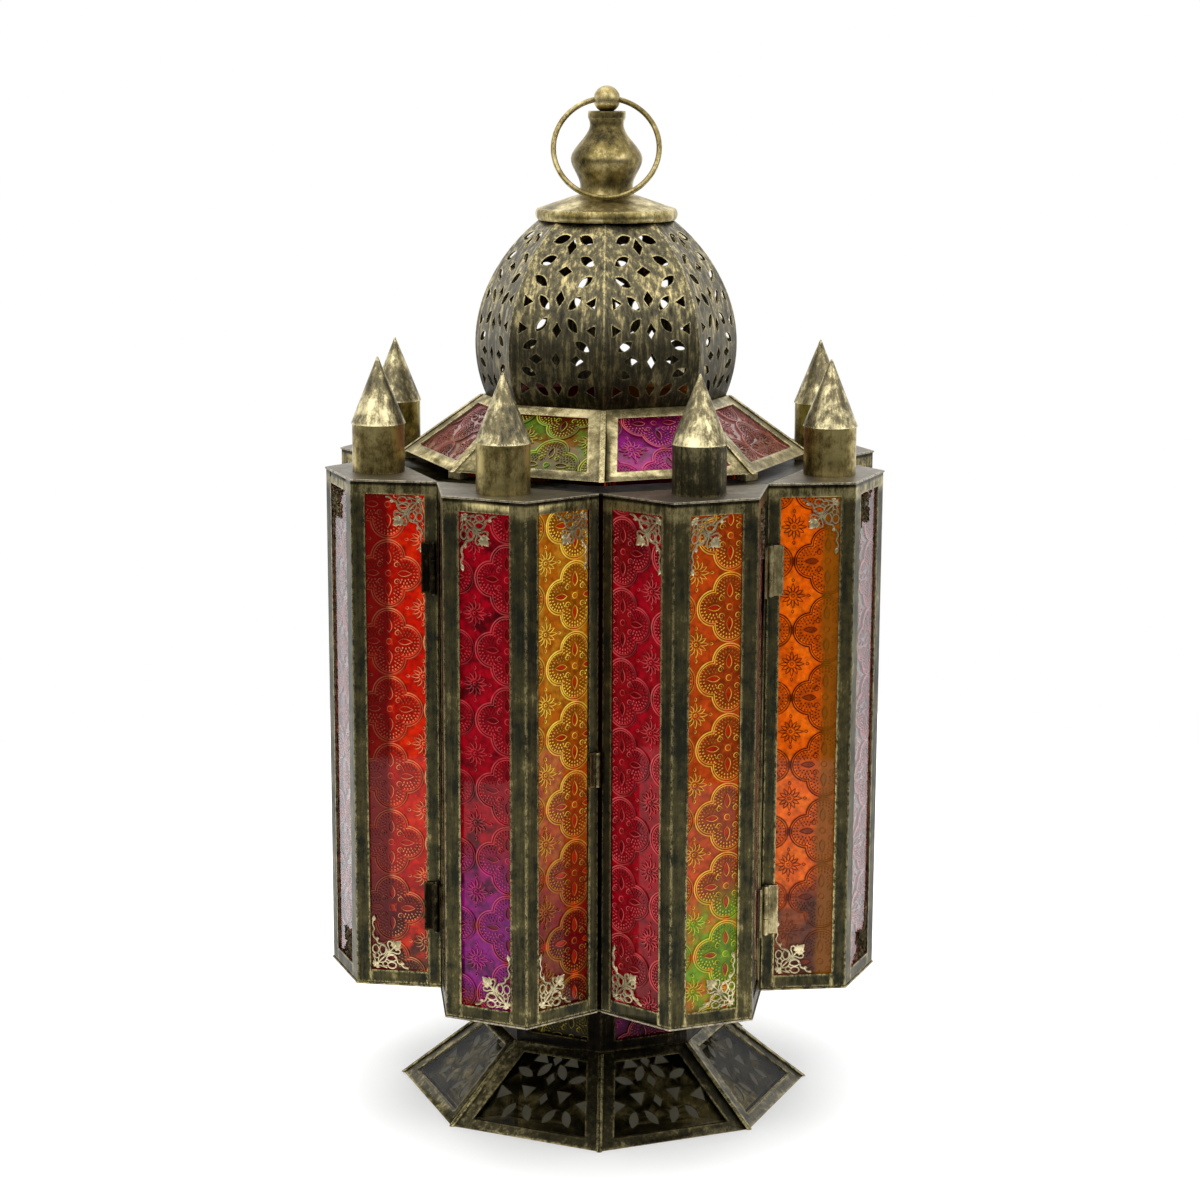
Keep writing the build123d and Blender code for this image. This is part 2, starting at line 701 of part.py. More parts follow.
def stem_nut():
    """Hexagon nut against the underside of the cap."""
    blank = extrude(RegularPolygon(NUT_FLATS / 2, 6, major_radius=False), NUT_HEIGHT)
    hole = Pos(0, 0, NUT_HEIGHT / 2) * Cylinder(STEM_R + RUNNING_CLEAR, NUT_HEIGHT)
    return Pos(0, 0, CAP_TOP - CAP_SKIN - NUT_HEIGHT) * (blank - hole)


# Floor, candle pan and cup

def floor_plate():
    """Plate that closes the candle room below, out to the turrets."""
    outline = RegularPolygon(VALLEY_R, SIDES, rotation=-90)
    return Pos(0, 0, TURRET_BASE) * extrude(outline, SHEET)


def drip_pan():
    """Shallow dish on the floor plate."""
    disc = Pos(0, 0, FRAME_LOW + SHEET / 2) * Cylinder(PAN_R, SHEET)
    return disc + tube(PAN_R, PAN_R - SHEET, FRAME_LOW, FRAME_LOW + PAN_RIM)


def candle_cup():
    """Open cup that stands in the dish."""
    return tube(CUP_R, CUP_R - SHEET, FRAME_LOW + SHEET, FRAME_LOW + SHEET + CUP_HEIGHT)


def lintel_bar():
    """One level bar of the ring that ties the turret tops together."""
    inner = VALLEY_APOTHEM - LINTEL_WIDTH
    bar = Pos(inner + LINTEL_WIDTH / 2, 0, TURRET_TOP - SHEET / 2)
    return (bar * Box(LINTEL_WIDTH, 2 * REACH, SHEET)) & sector()


def roof_tab():
    """Tab under an eave corner, standing on the lintel ring."""
    out = EAVE_R - SHEET
    place = Pos(out - TAB_DEPTH / 2, 0, (TURRET_TOP + EAVE) / 2)
    return place * Box(TAB_DEPTH, TAB_WIDTH, EAVE_GAP)


os.makedirs("parts", exist_ok=True)

# Foot and neck
save("foot_frames", around(FOOT.frame(FOOT_RAIL), PANEL_AZIMUTHS))
save("foot_ridges", FOOT.ridges())
save("foot_panes", around(FOOT.pane(FOOT_RAIL), PANEL_AZIMUTHS))
save("foot_lattice", around(foot_lattice(), PANEL_AZIMUTHS))
save("neck_frames", around(NECK.frame(FOOT_RAIL), PANEL_AZIMUTHS))
save("neck_panes", around(NECK.pane(FOOT_RAIL), PANEL_AZIMUTHS))

# Candle room
save("floor_plate", [floor_plate()])
save("drip_pan", [drip_pan()])
save("candle_cup", [candle_cup()])
save("lintel_ring", around(lintel_bar(), PANEL_AZIMUTHS))

# Fixed turrets, numbered round the back from the left door to the right one
corner = filigree_corner()
fixed = [Turret(azimuth, TURRET_GAP, TURRET_GAP, 0.0) for azimuth in FIXED_AZIMUTHS]
for number, turret in enumerate(fixed, 1):
    save(f"turret_{number}_frame", turret.frame())
    save(f"turret_{number}_glass", turret.glass())
save("turret_bottom_plates", [turret.plate(TURRET_BASE) for turret in fixed])
save("turret_top_plates", [turret.plate(FRAME_HIGH) for turret in fixed])
save("turret_filigree", [piece for turret in fixed for piece in turret.filigree(corner)])
save("pinnacle_barrels", [turret.barrel() for turret in fixed])
save("pinnacle_cones", [turret.cone() for turret in fixed])

# Doors with their hinges
left_door = Turret(LEFT_DOOR, DOOR_HINGE_GAP, DOOR_FREE_GAP, DOOR_CHORD_GAP)
right_door = Turret(RIGHT_DOOR, DOOR_FREE_GAP, DOOR_HINGE_GAP, DOOR_CHORD_GAP)
for name, side, door, post in (("left", -1, left_door, fixed[0]), ("right", 1, right_door, fixed[-1])):
    save(f"{name}_door_frame", door.frame())
    save(f"{name}_door_glass", door.glass())
    save(f"{name}_door_plates", [door.plate(TURRET_BASE), door.plate(FRAME_HIGH)])
    save(f"{name}_door_filigree", door.filigree(corner))
    save(f"{name}_door_barrel", [door.barrel()])
    save(f"{name}_door_cone", [door.cone()])
    save(f"{name}_hinge_door_leaves", [hinge_leaf(door, side, z, (-1, 1)) for z in HINGE_HEIGHTS])
    save(f"{name}_hinge_post_leaves", [hinge_leaf(post, -side, z, (0,)) for z in HINGE_HEIGHTS])
    save(f"{name}_hinge_pins", [hinge_pin(side, z) for z in HINGE_HEIGHTS])
save("door_catch", [door_catch(left_door)])

# Roof, dome and top
save("roof_frames", around(ROOF.frame(ROOF_RAIL), PANEL_AZIMUTHS))
save("roof_ridges", ROOF.ridges())
save("roof_panes", around(ROOF.pane(ROOF_RAIL), PANEL_AZIMUTHS))
save("roof_tabs", around(roof_tab(), CORNER_AZIMUTHS[1:]))
save("dome_gores", around(Dome().gore(), PANEL_AZIMUTHS))
save("dome_cap", [dome_cap()])
save("finial", [finial()])
save("finial_stem", [finial_stem()])
save("stem_nut", [stem_nut()])
save("top_ball", [top_ball()])
save("carrying_ring", [carrying_ring()])
print("ring lean", ring_lean(), "hinge axis radius", HINGE_AXIS_R, "ball height", BALL_Z)
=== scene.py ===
import json
import math

import bmesh
import bpy
import numpy as np
from mathutils import Matrix, Vector

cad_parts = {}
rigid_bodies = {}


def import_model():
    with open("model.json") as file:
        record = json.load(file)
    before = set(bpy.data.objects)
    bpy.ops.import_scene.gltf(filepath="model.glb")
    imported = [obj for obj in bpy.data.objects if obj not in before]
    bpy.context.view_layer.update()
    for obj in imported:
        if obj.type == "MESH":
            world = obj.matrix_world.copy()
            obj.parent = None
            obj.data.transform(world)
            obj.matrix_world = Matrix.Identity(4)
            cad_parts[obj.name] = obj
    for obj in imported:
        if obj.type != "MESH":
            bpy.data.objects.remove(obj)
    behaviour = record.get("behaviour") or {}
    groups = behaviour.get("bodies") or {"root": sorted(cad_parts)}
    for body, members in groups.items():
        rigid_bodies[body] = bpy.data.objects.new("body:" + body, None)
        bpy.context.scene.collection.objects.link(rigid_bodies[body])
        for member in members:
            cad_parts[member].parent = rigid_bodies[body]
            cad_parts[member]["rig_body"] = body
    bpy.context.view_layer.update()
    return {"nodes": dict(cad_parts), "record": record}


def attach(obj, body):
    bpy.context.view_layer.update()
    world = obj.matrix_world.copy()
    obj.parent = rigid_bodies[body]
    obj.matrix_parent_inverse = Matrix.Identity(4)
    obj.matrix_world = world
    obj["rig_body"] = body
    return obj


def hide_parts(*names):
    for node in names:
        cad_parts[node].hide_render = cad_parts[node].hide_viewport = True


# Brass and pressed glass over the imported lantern. Metres, +Z up, the doors face -Y.
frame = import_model()

MM = 0.001
nodes = frame["nodes"]
slot_of = {part["node"]: part["material_slot"] for part in frame["record"]["subparts"]}

# Pressed glass: repeat of the pattern, and how far the strips lap over each pane
PITCH = 28.0 * MM
GLASS_LAP = 2.6 * MM

# Quatrefoil: how far its lobes lie from its middle, its two outlines with their widths, the
# height of an outline as a share of its width, and the edge of its fill
LOBE_OFFSET = 6.7 * MM
LOBE_R = 7.0 * MM
DOUBLE_R = 6.1 * MM
OUTLINES = ((LOBE_R, 0.85 * MM), (DOUBLE_R, 0.6 * MM))
OUTLINE_RISE = 0.85
INNER_R = 5.4 * MM

# In each lobe: rings of dots with the dots on either side of the axis, and a spade by its
# tail, tip and half width. A star lies where two quatrefoils touch.
STIPPLE = ((5.3 * MM, 8), (4.0 * MM, 6), (2.8 * MM, 4), (1.7 * MM, 2))
STIPPLE_SPREAD = 115
SPADE = (3.8 * MM, 9.6 * MM, 1.2 * MM)
SPADE_MARGIN = 0.2 * MM
LOBE_MARGIN = 0.6 * MM
STAR_R = 2.4 * MM

# Curls between the lobes, and the ring in the middle, whose last side closes it
CURL_OFFSET = 4.9 * MM
CURL_RADII = (1.4 * MM, 0.4 * MM)
CURL_TURN = 2.4 * math.pi
CURL_POINTS = 12
HUB_R = 1.2 * MM
HUB_TURN = 2 * math.pi * 7 / 8

# Daisy: its eye, its long and short petals, and a small leaf beyond every third petal
EYE_R = 0.7 * MM
EYE_TURN = 2 * math.pi * 5 / 6
PETALS = 12
PETAL_FOOT = 1.5 * MM
LONG_PETAL = 5.2 * MM
SHORT_PETAL = 4.7 * MM
PETAL_HALF_WIDTH = 0.62 * MM
DAISY_LEAF = (5.7 * MM, 7.2 * MM, 0.5 * MM)

# Ridges as width and height
DOT = (0.7 * MM, 0.5 * MM)
FINE = (0.45 * MM, 0.5 * MM)
CURL = (0.5 * MM, 0.5 * MM)
PETAL = (0.5 * MM, 0.55 * MM)
EYE = (0.55 * MM, 0.55 * MM)

# Section of a ridge: place across it, height and turn to the glint, as shares. GLINT is the way
# across and up a pane that its light sides face. A ridge's foot is sunk into the sheet, curves
# have a point at every step, and shorter runs than the last value are left out.
RIDGE = ((-0.5, 0.0, 1.0), (-0.22, 1.0, 1.0), (0.22, 1.0, 0.3), (0.5, 0.0, 0.3))
GLINT = np.array([-0.92, 0.38])
BEAD_SINK = 0.05 * MM
BEAD_STEP = 0.8 * MM
SHORTEST_RUN = 0.3 * MM

# Depth of the pressed face below the front of the pane, the clear skin before some panes, and
# how strongly the coat of the glass and clear glass bend light
RELIEF_DEPTH = 0.8 * MM
SKIN = 0.2 * MM
SKIN_GAP = 0.05 * MM
COAT_IOR = 1.25
CLEAR_IOR = 1.15

# Heights between which the finish changes: more gold on the top rail of the turrets, a painted
# shadow going black under their top plates, and darker towards the foot of the dome
GILT_HEIGHTS = (264.0 * MM, 267.0 * MM)
PLATE_SHADOW_HEIGHTS = (270.4 * MM, 271.2 * MM)
DARKER_FOOT_HEIGHTS = (302.0 * MM, 345.0 * MM)

# Sheet metal: rounding of its edges, how far gold shows beside a cut edge, and what counts as
# one point, one flat face and a fold. Pieces built here are shaded sharp from CREASE on.
SOFT_EDGE = 0.25 * MM
CUT_EDGE = 0.45 * MM
WELD = 0.002 * MM
FLAT = math.radians(0.4)
FOLD = math.radians(25)
CREASE = math.radians(50)

# Solder in the valleys between the fixed turrets, with long and short lumps as shares of its
# radius and radians along a metre
VALLEY_R = 93.0 * MM
SEAM_R = 0.7 * MM
SEAM_FOOT = 63.5 * MM
SEAM_HEAD = 271.5 * MM
SEAM_RINGS = 105
SEAM_SIDES = 8
LONG_LUMPS = (0.18, 900)
SHORT_LUMPS = (0.12, 2300)

# Filigree above the glass: its wire, the rim of a leaf as a share of its rib's height, and how
# much a pane's middle counts against its plane when a corner's pane is looked for
WIRE_LIFT = 0.1 * MM
WIRE_HEIGHT = 0.45 * MM
WIRE_WIDTH = 0.85 * MM
LEAF_RIM = 0.45
MIDDLE_WEIGHT = 0.2

# Camera of the photograph
LENS = 82.36
SENSOR = 36.0
AIM = Vector((0, 0, 0.2123))
CAMERA_DISTANCE = 1.1656
CAMERA_PITCH = math.radians(11.32)
CAMERA_AZIMUTH = math.radians(1.04)
CAMERA_ROLL = math.radians(0.215)
CAMERA_SHIFT = -0.00416

# Studio: pale floor, light from above and behind, and shade in the low front
FLOOR_R = 0.7
FLOOR_SIDES = 64
FLOOR_GLOW = 0.11
SKY = 1.4
SHADE = 0.2
UNDER = 0.04
WHITE = (1.0, 1.0, 1.0, 1.0)


def linear(red, green, blue):
    """Linear colour from display values of 0 to 255."""
    def channel(value):
        share = value / 255
        return share / 12.92 if share <= 0.04045 else ((share + 0.055) / 1.055) ** 2.4
    return (channel(red), channel(green), channel(blue), 1.0)


# Material graphs

class Graph:
    """The node tree of a material or a world; a node or an output goes in as a link."""

    def __init__(self, name, kind=bpy.data.materials, shader="Principled BSDF"):
        self.owner = kind.new(name)
        self.owner.use_nodes = True
        self.tree = self.owner.node_tree
        self.shader = self.tree.nodes[shader]

    def add(self, kind, inputs=None, **settings):
        """New node with its settings, and its inputs as constants or links."""
        node = self.tree.nodes.new("ShaderNode" + kind)
        for key, value in settings.items():
            setattr(node, key, value)
        for key, value in (inputs or {}).items():
            self.set(node, key, value)
        return node

    def set(self, node, key, value):
        """Give an input a constant, or link a node's first output or a named output to it."""
        target = node.inputs[key]
        if isinstance(value, bpy.types.Node):
            self.tree.links.new(value.outputs[0], target)
        elif isinstance(value, bpy.types.NodeSocket):
            self.tree.links.new(value, target)
        else:
            target.default_value = value

    def finish(self, **inputs):
        """Set the shader's inputs, with underscores for the spaces in their names."""
        for key, value in inputs.items():
            self.set(self.shader, key.replace("_", " ").title().replace("Ior", "IOR"), value)
        return self.owner

    def math(self, operation, first, second=0.0):
        """Arithmetic on two values."""
        return self.add("Math", {0: first, 1: second}, operation=operation)

    def mix(self, factor, first, second, blend="MIX"):
        """Blend of two colours."""
        node = self.add("Mix", data_type="RGBA", blend_type=blend)
        for key, value in ((0, factor), (6, first), (7, second)):
            self.set(node, key, value)
        return node.outputs[2]

    def remap(self, value, low, high, to_low=0.0, to_high=1.0):
        """A value's range carried to another range, with its ends held."""
        ends = {"Value": value, "From Min": low, "From Max": high, "To Min": to_low, "To Max": to_high}
        return self.add("MapRange", ends)

    def ramp(self, value, stops):
        """Colours along a value, from pairs of place and colour."""
        node = self.add("ValToRGB", {"Fac": value})
        points = node.color_ramp.elements
        while len(points) < len(stops):
            points.new(1.0)
        for point, (place, colour) in zip(points, stops):
            point.position = place
            point.color = colour
        return node

    def noise(self, scale, detail=4.0, roughness=0.55, stretch=(1, 1, 1), offset=(0, 0, 0)):
        """Noise in the object's own space, stretched along an axis by a small share."""
        place = self.add("TexCoord").outputs["Object"]
        mapped = self.add("Mapping", {"Vector": place, "Scale": stretch, "Location": offset})
        inputs = {"Vector": mapped, "Scale": scale, "Detail": detail, "Roughness": roughness}
        return self.add("TexNoise", inputs)

    def edges(self, radius, low, high):
        """1 along folds and cut edges within a radius of them, 0 on the flat."""
        rounded = self.add("Bevel", {"Radius": radius}, samples=4)
        normal = self.add("NewGeometry").outputs["Normal"]
        likeness = self.add("VectorMath", {0: rounded, 1: normal}, operation="DOT_PRODUCT")
        return self.remap(self.math("SUBTRACT", 1.0, likeness.outputs["Value"]), low, high)


def brass(name, tones, rub=0.0, brush=0.3, contrast=0.11, fold=1.5 * MM, rough=0.36,
          darken_below=None, gilt=None, seam=None, rim=WHITE):
    """Gold rubbed over dark sheet: tones from patina to gold, brushed downwards, with painted shade
    in its corners and recesses.

    rub brings up more gold, brush gives the strokes their share against the clouds,
    fold is how far the gold shows beside a worn fold, darken_below is a pair of heights between
    which the sheet goes from darker to its own tone, gilt a pair between which more gold comes up,
    and seam a pair between which a painted shadow goes black under a plate. rim is the tint of
    what it mirrors when seen along its face."""
    g = Graph(name)
    clouds = g.noise(75, detail=5, roughness=0.6)
    strokes = g.noise(480, detail=6, roughness=0.65, stretch=(1, 1, 0.07))
    blots = g.noise(260, detail=6, roughness=0.7, offset=(5, 2, 7))
    grain = g.noise(1700, detail=2, roughness=0.7, stretch=(1, 1, 0.4), offset=(3, 1, 2))
    level = g.math("MULTIPLY", clouds, 0.65 - brush)
    for part, weight in ((strokes, brush), (blots, 0.22), (grain, 0.13)):
        level = g.math("ADD", level, g.math("MULTIPLY", part, weight))
    height = g.add("SeparateXYZ", {0: g.add("TexCoord").outputs["Object"]}).outputs["Z"]
    if gilt:
        level = g.math("ADD", level, g.remap(height, gilt[0], gilt[1], 0.0, 0.11))
    worn = g.remap(level, 0.5 - contrast - rub, 0.5 + contrast - rub)
    speckle = g.math("ADD", g.math("MULTIPLY", blots, 0.5), g.math("MULTIPLY", grain, 0.5))
    broken = g.math("MULTIPLY", g.edges(fold, 0.004, 0.06), g.remap(speckle, 0.38, 0.54, 0.1, 1.0))
    cut = g.math("MULTIPLY", g.edges(CUT_EDGE, 0.04, 0.25), g.remap(speckle, 0.3, 0.5, 0.55, 1.0))
    worn = g.math("MAXIMUM", worn, g.math("MAXIMUM", broken, cut))
    patina, bronze, gold = tones
    colour = g.ramp(worn, [(0.0, patina), (0.5, bronze), (1.0, gold)])
    # Painted shade: ambient occlusion darkens the colour in corners, in recesses, and under and
    # between parts
    occlusion_shade = g.add("AmbientOcclusion", {"Distance": 3.0 * MM}, samples=4)
    shade_and_darkening = g.remap(occlusion_shade.outputs["AO"], 0.15, 0.75, 0.2, 1.0)
    # Darker towards the foot, between two heights
    if darken_below:
        shade_and_darkening = g.math("MULTIPLY", shade_and_darkening, g.remap(height, darken_below[0], darken_below[1], 0.3, 1.0))
    # Painted shadow: black band on the frames just under the overhanging top plates
    if seam:
        shade_and_darkening = g.math("MULTIPLY", shade_and_darkening, g.remap(height, seam[0], seam[1], 1.0, 0.1))
    shade = g.mix(1.0, colour, shade_and_darkening, blend="MULTIPLY")
    roughness = g.remap(worn, 0.0, 1.0, rough + 0.14, rough)
    relief = g.math("ADD", g.math("MULTIPLY", strokes, 0.5), g.math("MULTIPLY", grain, 0.5))
    relief = g.math("ADD", relief, blots)
    bump = g.add("Bump", {"Strength": 0.4, "Distance": 0.12 * MM, "Height": relief})
    return g.finish(
        base_color=shade, roughness=roughness, metallic=1.0, normal=bump, specular_tint=rim,
    )


def steel(name):
    """Dull drawn steel with fine lines."""
    g = Graph(name)
    lines = g.noise(900, detail=3, stretch=(1, 1, 0.05))
    colour = g.ramp(lines, [(0.3, linear(60, 58, 54)), (0.7, linear(140, 136, 128))])
    bump = g.add("Bump", {"Strength": 0.2, "Distance": 0.05 * MM, "Height": lines})
    return g.finish(base_color=colour, roughness=0.42, metallic=1.0, normal=bump)


def motif(g, cell):
    """Shares of the pressed motif at a place in the pattern: its fill, and its spades and stars."""
    wrapped = g.add("VectorMath", {0: cell, 1: (0.5, 0.5, 0.5)}, operation="ADD")
    wrapped = g.add("VectorMath", {0: wrapped}, operation="FRACTION")
    wrapped = g.add("VectorMath", {0: wrapped, 1: (0.5, 0.5, 0.5)}, operation="SUBTRACT")
    wrapped = g.add("VectorMath", {0: wrapped}, operation="ABSOLUTE")
    x, y, _ = g.add("SeparateXYZ", {0: wrapped}).outputs
    along, beside = g.math("MAXIMUM", x, y), g.math("MINIMUM", x, y)

    def reach(middle, wide=1.0):
        """Distance from a place on the motif's axis, in repeats, with the axis shortened."""
        off = g.math("DIVIDE", g.math("SUBTRACT", along, middle / PITCH), wide)
        return g.math("SQRT", g.math("ADD", g.math("POWER", off, 2.0), g.math("POWER", beside, 2.0)))

    fill = g.remap(reach(LOBE_OFFSET), INNER_R / PITCH, 0.93 * INNER_R / PITCH)
    tail, tip, half_width = SPADE
    spade = reach((tail + tip) / 2, (tip - tail) / 2 / half_width)
    spade = g.remap(spade, 1.1 * half_width / PITCH, 0.7 * half_width / PITCH)
    star = g.remap(reach(PITCH / 2), STAR_R / PITCH, 0.5 * STAR_R / PITCH)
    return fill, g.math("MAXIMUM", spade, star)


def pressed_glass(name, stops, line, between, heart, shade_band=None, backlight_glow=0.6, glint=0.8,
                  groove=0.25, rise=(-1.0, 0.0), polish=1.0):
    """Stained glass coloured from foot to head, glowing with a painted backlight, with an optional
    painted shade band along one side.

    line is the painted light along the pressed ridges, which is strongest where they face the glint
    (a dark line paints shade there instead), between the tone of the field outside the quatrefoils,
    heart that of the spades and stars, groove the share of light left at the foot of the ridges,
    where shade is painted, rise the shares of the height between which the field and the ridges
    take on their own tones, and polish the share of what its surroundings send back.
    backlight_glow is the strength of the painted backlight, and shade_band the start, end and tone
    of the painted shade band.
    The mesh carries each point's place on its pane, 0 to 1 up the pressed relief, -1 at the back."""
    g = Graph(name)
    place = g.add("Attribute", attribute_name="pane").outputs["Vector"]
    across, up, relief = g.add("SeparateXYZ", {0: place}).outputs
    cell = g.add("Attribute", attribute_name="cell").outputs["Vector"]
    facing = g.add("SeparateXYZ", {0: cell}).outputs["Z"]
    drift = g.remap(g.noise(45, detail=2), 0.3, 0.7, -0.05, 0.05)
    colour = g.ramp(g.math("ADD", up, drift), stops).outputs[0]
    fill, marks = motif(g, cell)
    patches = g.remap(g.noise(140, detail=3), 0.45, 0.62)
    risen = g.remap(g.math("ADD", up, drift), rise[0], rise[1], 0.2, 1.0)
    field = g.math("MULTIPLY", g.math("SUBTRACT", 1.0, fill), patches)
    field = g.math("MULTIPLY", field, risen)
    colour = g.mix(g.math("MULTIPLY", field, 0.75), colour, between)
    colour = g.mix(g.math("MULTIPLY", marks, 0.8), colour, heart)
    mottle = g.remap(g.noise(420, detail=3), 0.32, 0.62, 0.55, 1.0)
    ground = g.math("MULTIPLY", mottle, g.remap(fill, 0.0, 1.0, 1.0, 0.7))
    colour = g.mix(1.0, colour, ground, blend="MULTIPLY")
    # Painted highlight on the ridge tops, strongest on the sides that face GLINT; a dark line colour
    # paints shade there instead
    ridge_shading = g.math("MULTIPLY", g.remap(relief, 0.55, 0.9), g.remap(facing, -0.5, 0.7, 0.3, 1.0))
    ridge_shading = g.math("MULTIPLY", ridge_shading, g.remap(g.noise(300), 0.3, 0.55, 0.5 * glint, glint))
    colour = g.mix(g.math("MULTIPLY", ridge_shading, risen), colour, line)
    # Painted shade band along one side of the pane
    if shade_band:
        start, end, tone = shade_band
        side = g.remap(g.math("ADD", across, g.math("MULTIPLY", drift, 0.8)), start, end, 0.0, 0.85)
        colour = g.mix(side, colour, tone)
    # Painted shade at the foot of the ridges and on their sides turned away from GLINT
    foot = g.remap(relief, 0.45, 0.0, 1.0, groove)
    away = g.remap(facing, -0.1, -0.8, 1.0, 0.4)
    lit = g.mix(1.0, colour, g.math("MULTIPLY", foot, away), blend="MULTIPLY")
    dim = g.mix(1.0, lit, (0.35, 0.35, 0.35, 1), blend="MULTIPLY")
    # Painted backlight: the glass glows in its own colour, less at the back of the sheet
    inside = g.remap(relief, -1.0, 0.0, 0.2 * backlight_glow, backlight_glow)
    return g.finish(
        base_color=dim, roughness=0.35, specular_ior_level=0.05,
        emission_color=lit, emission_strength=inside,
        coat_weight=polish, coat_roughness=0.03, coat_ior=COAT_IOR,
    )


def cover_glass(name):
    """Smooth outer skin of a pane, which mirrors its surroundings when seen along its face."""
    g = Graph(name)
    waves = g.noise(28, detail=2, roughness=0.4)
    bump = g.add("Bump", {"Strength": 0.15, "Distance": 0.5 * MM, "Height": waves})
    tint = g.ramp(g.noise(60), [(0.3, linear(246, 246, 248)), (0.7, linear(255, 255, 255))])
    return g.finish(
        base_color=tint, roughness=0.02, normal=bump, transmission_weight=1.0, ior=CLEAR_IOR,
    )


def rippled_glass(name):
    """Clear old glass with a grey cast and broad ripples."""
    g = Graph(name)
    ripples = g.noise(95, detail=2, roughness=0.45)
    bump = g.add("Bump", {"Strength": 0.5, "Distance": 0.6 * MM, "Height": ripples})
    tint = g.ramp(g.noise(60), [(0.3, linear(140, 136, 118)), (0.7, linear(176, 173, 156))])
    return g.finish(
        base_color=tint, roughness=0.04, normal=bump, transmission_weight=1.0, ior=CLEAR_IOR,
    )


# Finishes of the metal, with tones from patina to gold
antique = brass(
    "antique_brass_dark", (linear(38, 39, 31), linear(78, 72, 46), linear(186, 172, 120)),
    rub=-0.07, brush=0.3, contrast=0.13, gilt=GILT_HEIGHTS, seam=PLATE_SHADOW_HEIGHTS,
)
tarnished = brass(
    "antique_brass_tarnished", (linear(34, 34, 26), linear(72, 67, 47), linear(178, 164, 118)),
    rub=-0.02, brush=0.3,
)
rubbed = brass(
    "antique_brass_rubbed", (linear(56, 54, 42), linear(134, 118, 68), linear(218, 204, 152)),
    rub=0.01, brush=0.2,
)
weathered = brass(
    "antique_brass_weathered", (linear(66, 62, 46), linear(124, 113, 78), linear(204, 190, 144)),
    rub=0.02, brush=0.2,
)
turned = brass(
    "antique_brass_turned", (linear(58, 52, 34), linear(130, 115, 68), linear(202, 186, 136)),
    brush=0.12,
)
pierced = brass(
    "antique_brass_pierced", (linear(58, 56, 48), linear(102, 95, 72), linear(208, 191, 134)),
    rub=-0.012, brush=0.5, fold=1.0 * MM, darken_below=DARKER_FOOT_HEIGHTS,
)
flaked = brass(
    "antique_brass_flaked", (linear(70, 68, 60), linear(124, 114, 84), linear(226, 213, 166)),
    rub=0.01, brush=0.3, contrast=0.09,
)
barrel = brass(
    "antique_brass_barrel", (linear(36, 34, 25), linear(118, 103, 60), linear(186, 170, 112)),
    rub=0.025, brush=0.15, contrast=0.08,
)
# Painted shade: near-black brass for the neck frames and the left hinge leaves, which lie in shade
in_shade = brass(
    "antique_brass_sooty", (linear(9, 7, 5), linear(20, 17, 11), linear(84, 73, 44)),
    rub=-0.06,
)
satin = brass(
    "satin_brass", (linear(88, 82, 70), linear(118, 109, 93), linear(194, 184, 156)),
    rub=-0.05, brush=0.2, contrast=0.16,
)
scroll = brass(
    "filigree_brass", (linear(96, 88, 64), linear(160, 148, 112), linear(222, 210, 170)),
    rub=0.02, brush=0.1, fold=0.3 * MM,
)
# Painted shade: dark filigree with dimmed reflections, for the panes seen along their face
shaded_scroll = brass(
    "filigree_brass_dark", (linear(30, 26, 20), linear(56, 50, 38), linear(112, 102, 78)),
    brush=0.1, fold=0.3 * MM, rim=(0.12, 0.11, 0.1, 1.0),
)
dull_steel = steel("dull_steel")
metal_of = {
    "antique_brass": antique,
    "rubbed_brass": rubbed,
    "filigree_brass": scroll,
    "steel": dull_steel,
}

# Stained glass: each look is named by its main colour, with stops from foot to head
CRIMSON = linear(160, 0, 22)
DEEP_RED = linear(122, 0, 4)
SCARLET = linear(206, 20, 0)
FLAME = linear(236, 48, 4)
MAROON = linear(84, 2, 4)
AMBER = linear(176, 92, 6)
OCHRE = linear(190, 130, 28)
TANGERINE = linear(238, 96, 0)
SAFFRON = linear(255, 118, 8)
RUST = linear(172, 62, 6)
BRICK = linear(206, 74, 16)
OLIVE = linear(128, 74, 4)
LIME = linear(110, 150, 16)
MOSS = linear(118, 112, 46)
PURPLE = linear(138, 14, 118)
MAGENTA = linear(176, 14, 112)
UMBER = linear(100, 52, 34)
GREEN = linear(76, 126, 30)
INK = linear(20, 0, 4)
RED = linear(206, 34, 0)
SIENNA = linear(140, 44, 0)
CLAY_AND_SHEEN = linear(146, 88, 58)
ROSE_AND_SHEEN = linear(154, 98, 92)
# Painted light along the ridge tops of the looks; the sienna one paints those tops dark
PINK_RIDGE_LIGHT = linear(240, 104, 104)
GOLD_RIDGE_LIGHT = linear(255, 226, 84)
SIENNA_RIDGE_SHADE = linear(60, 10, 0)
LIME_RIDGE_LIGHT = linear(206, 226, 70)
CREAM_RIDGE_LIGHT = linear(255, 180, 120)

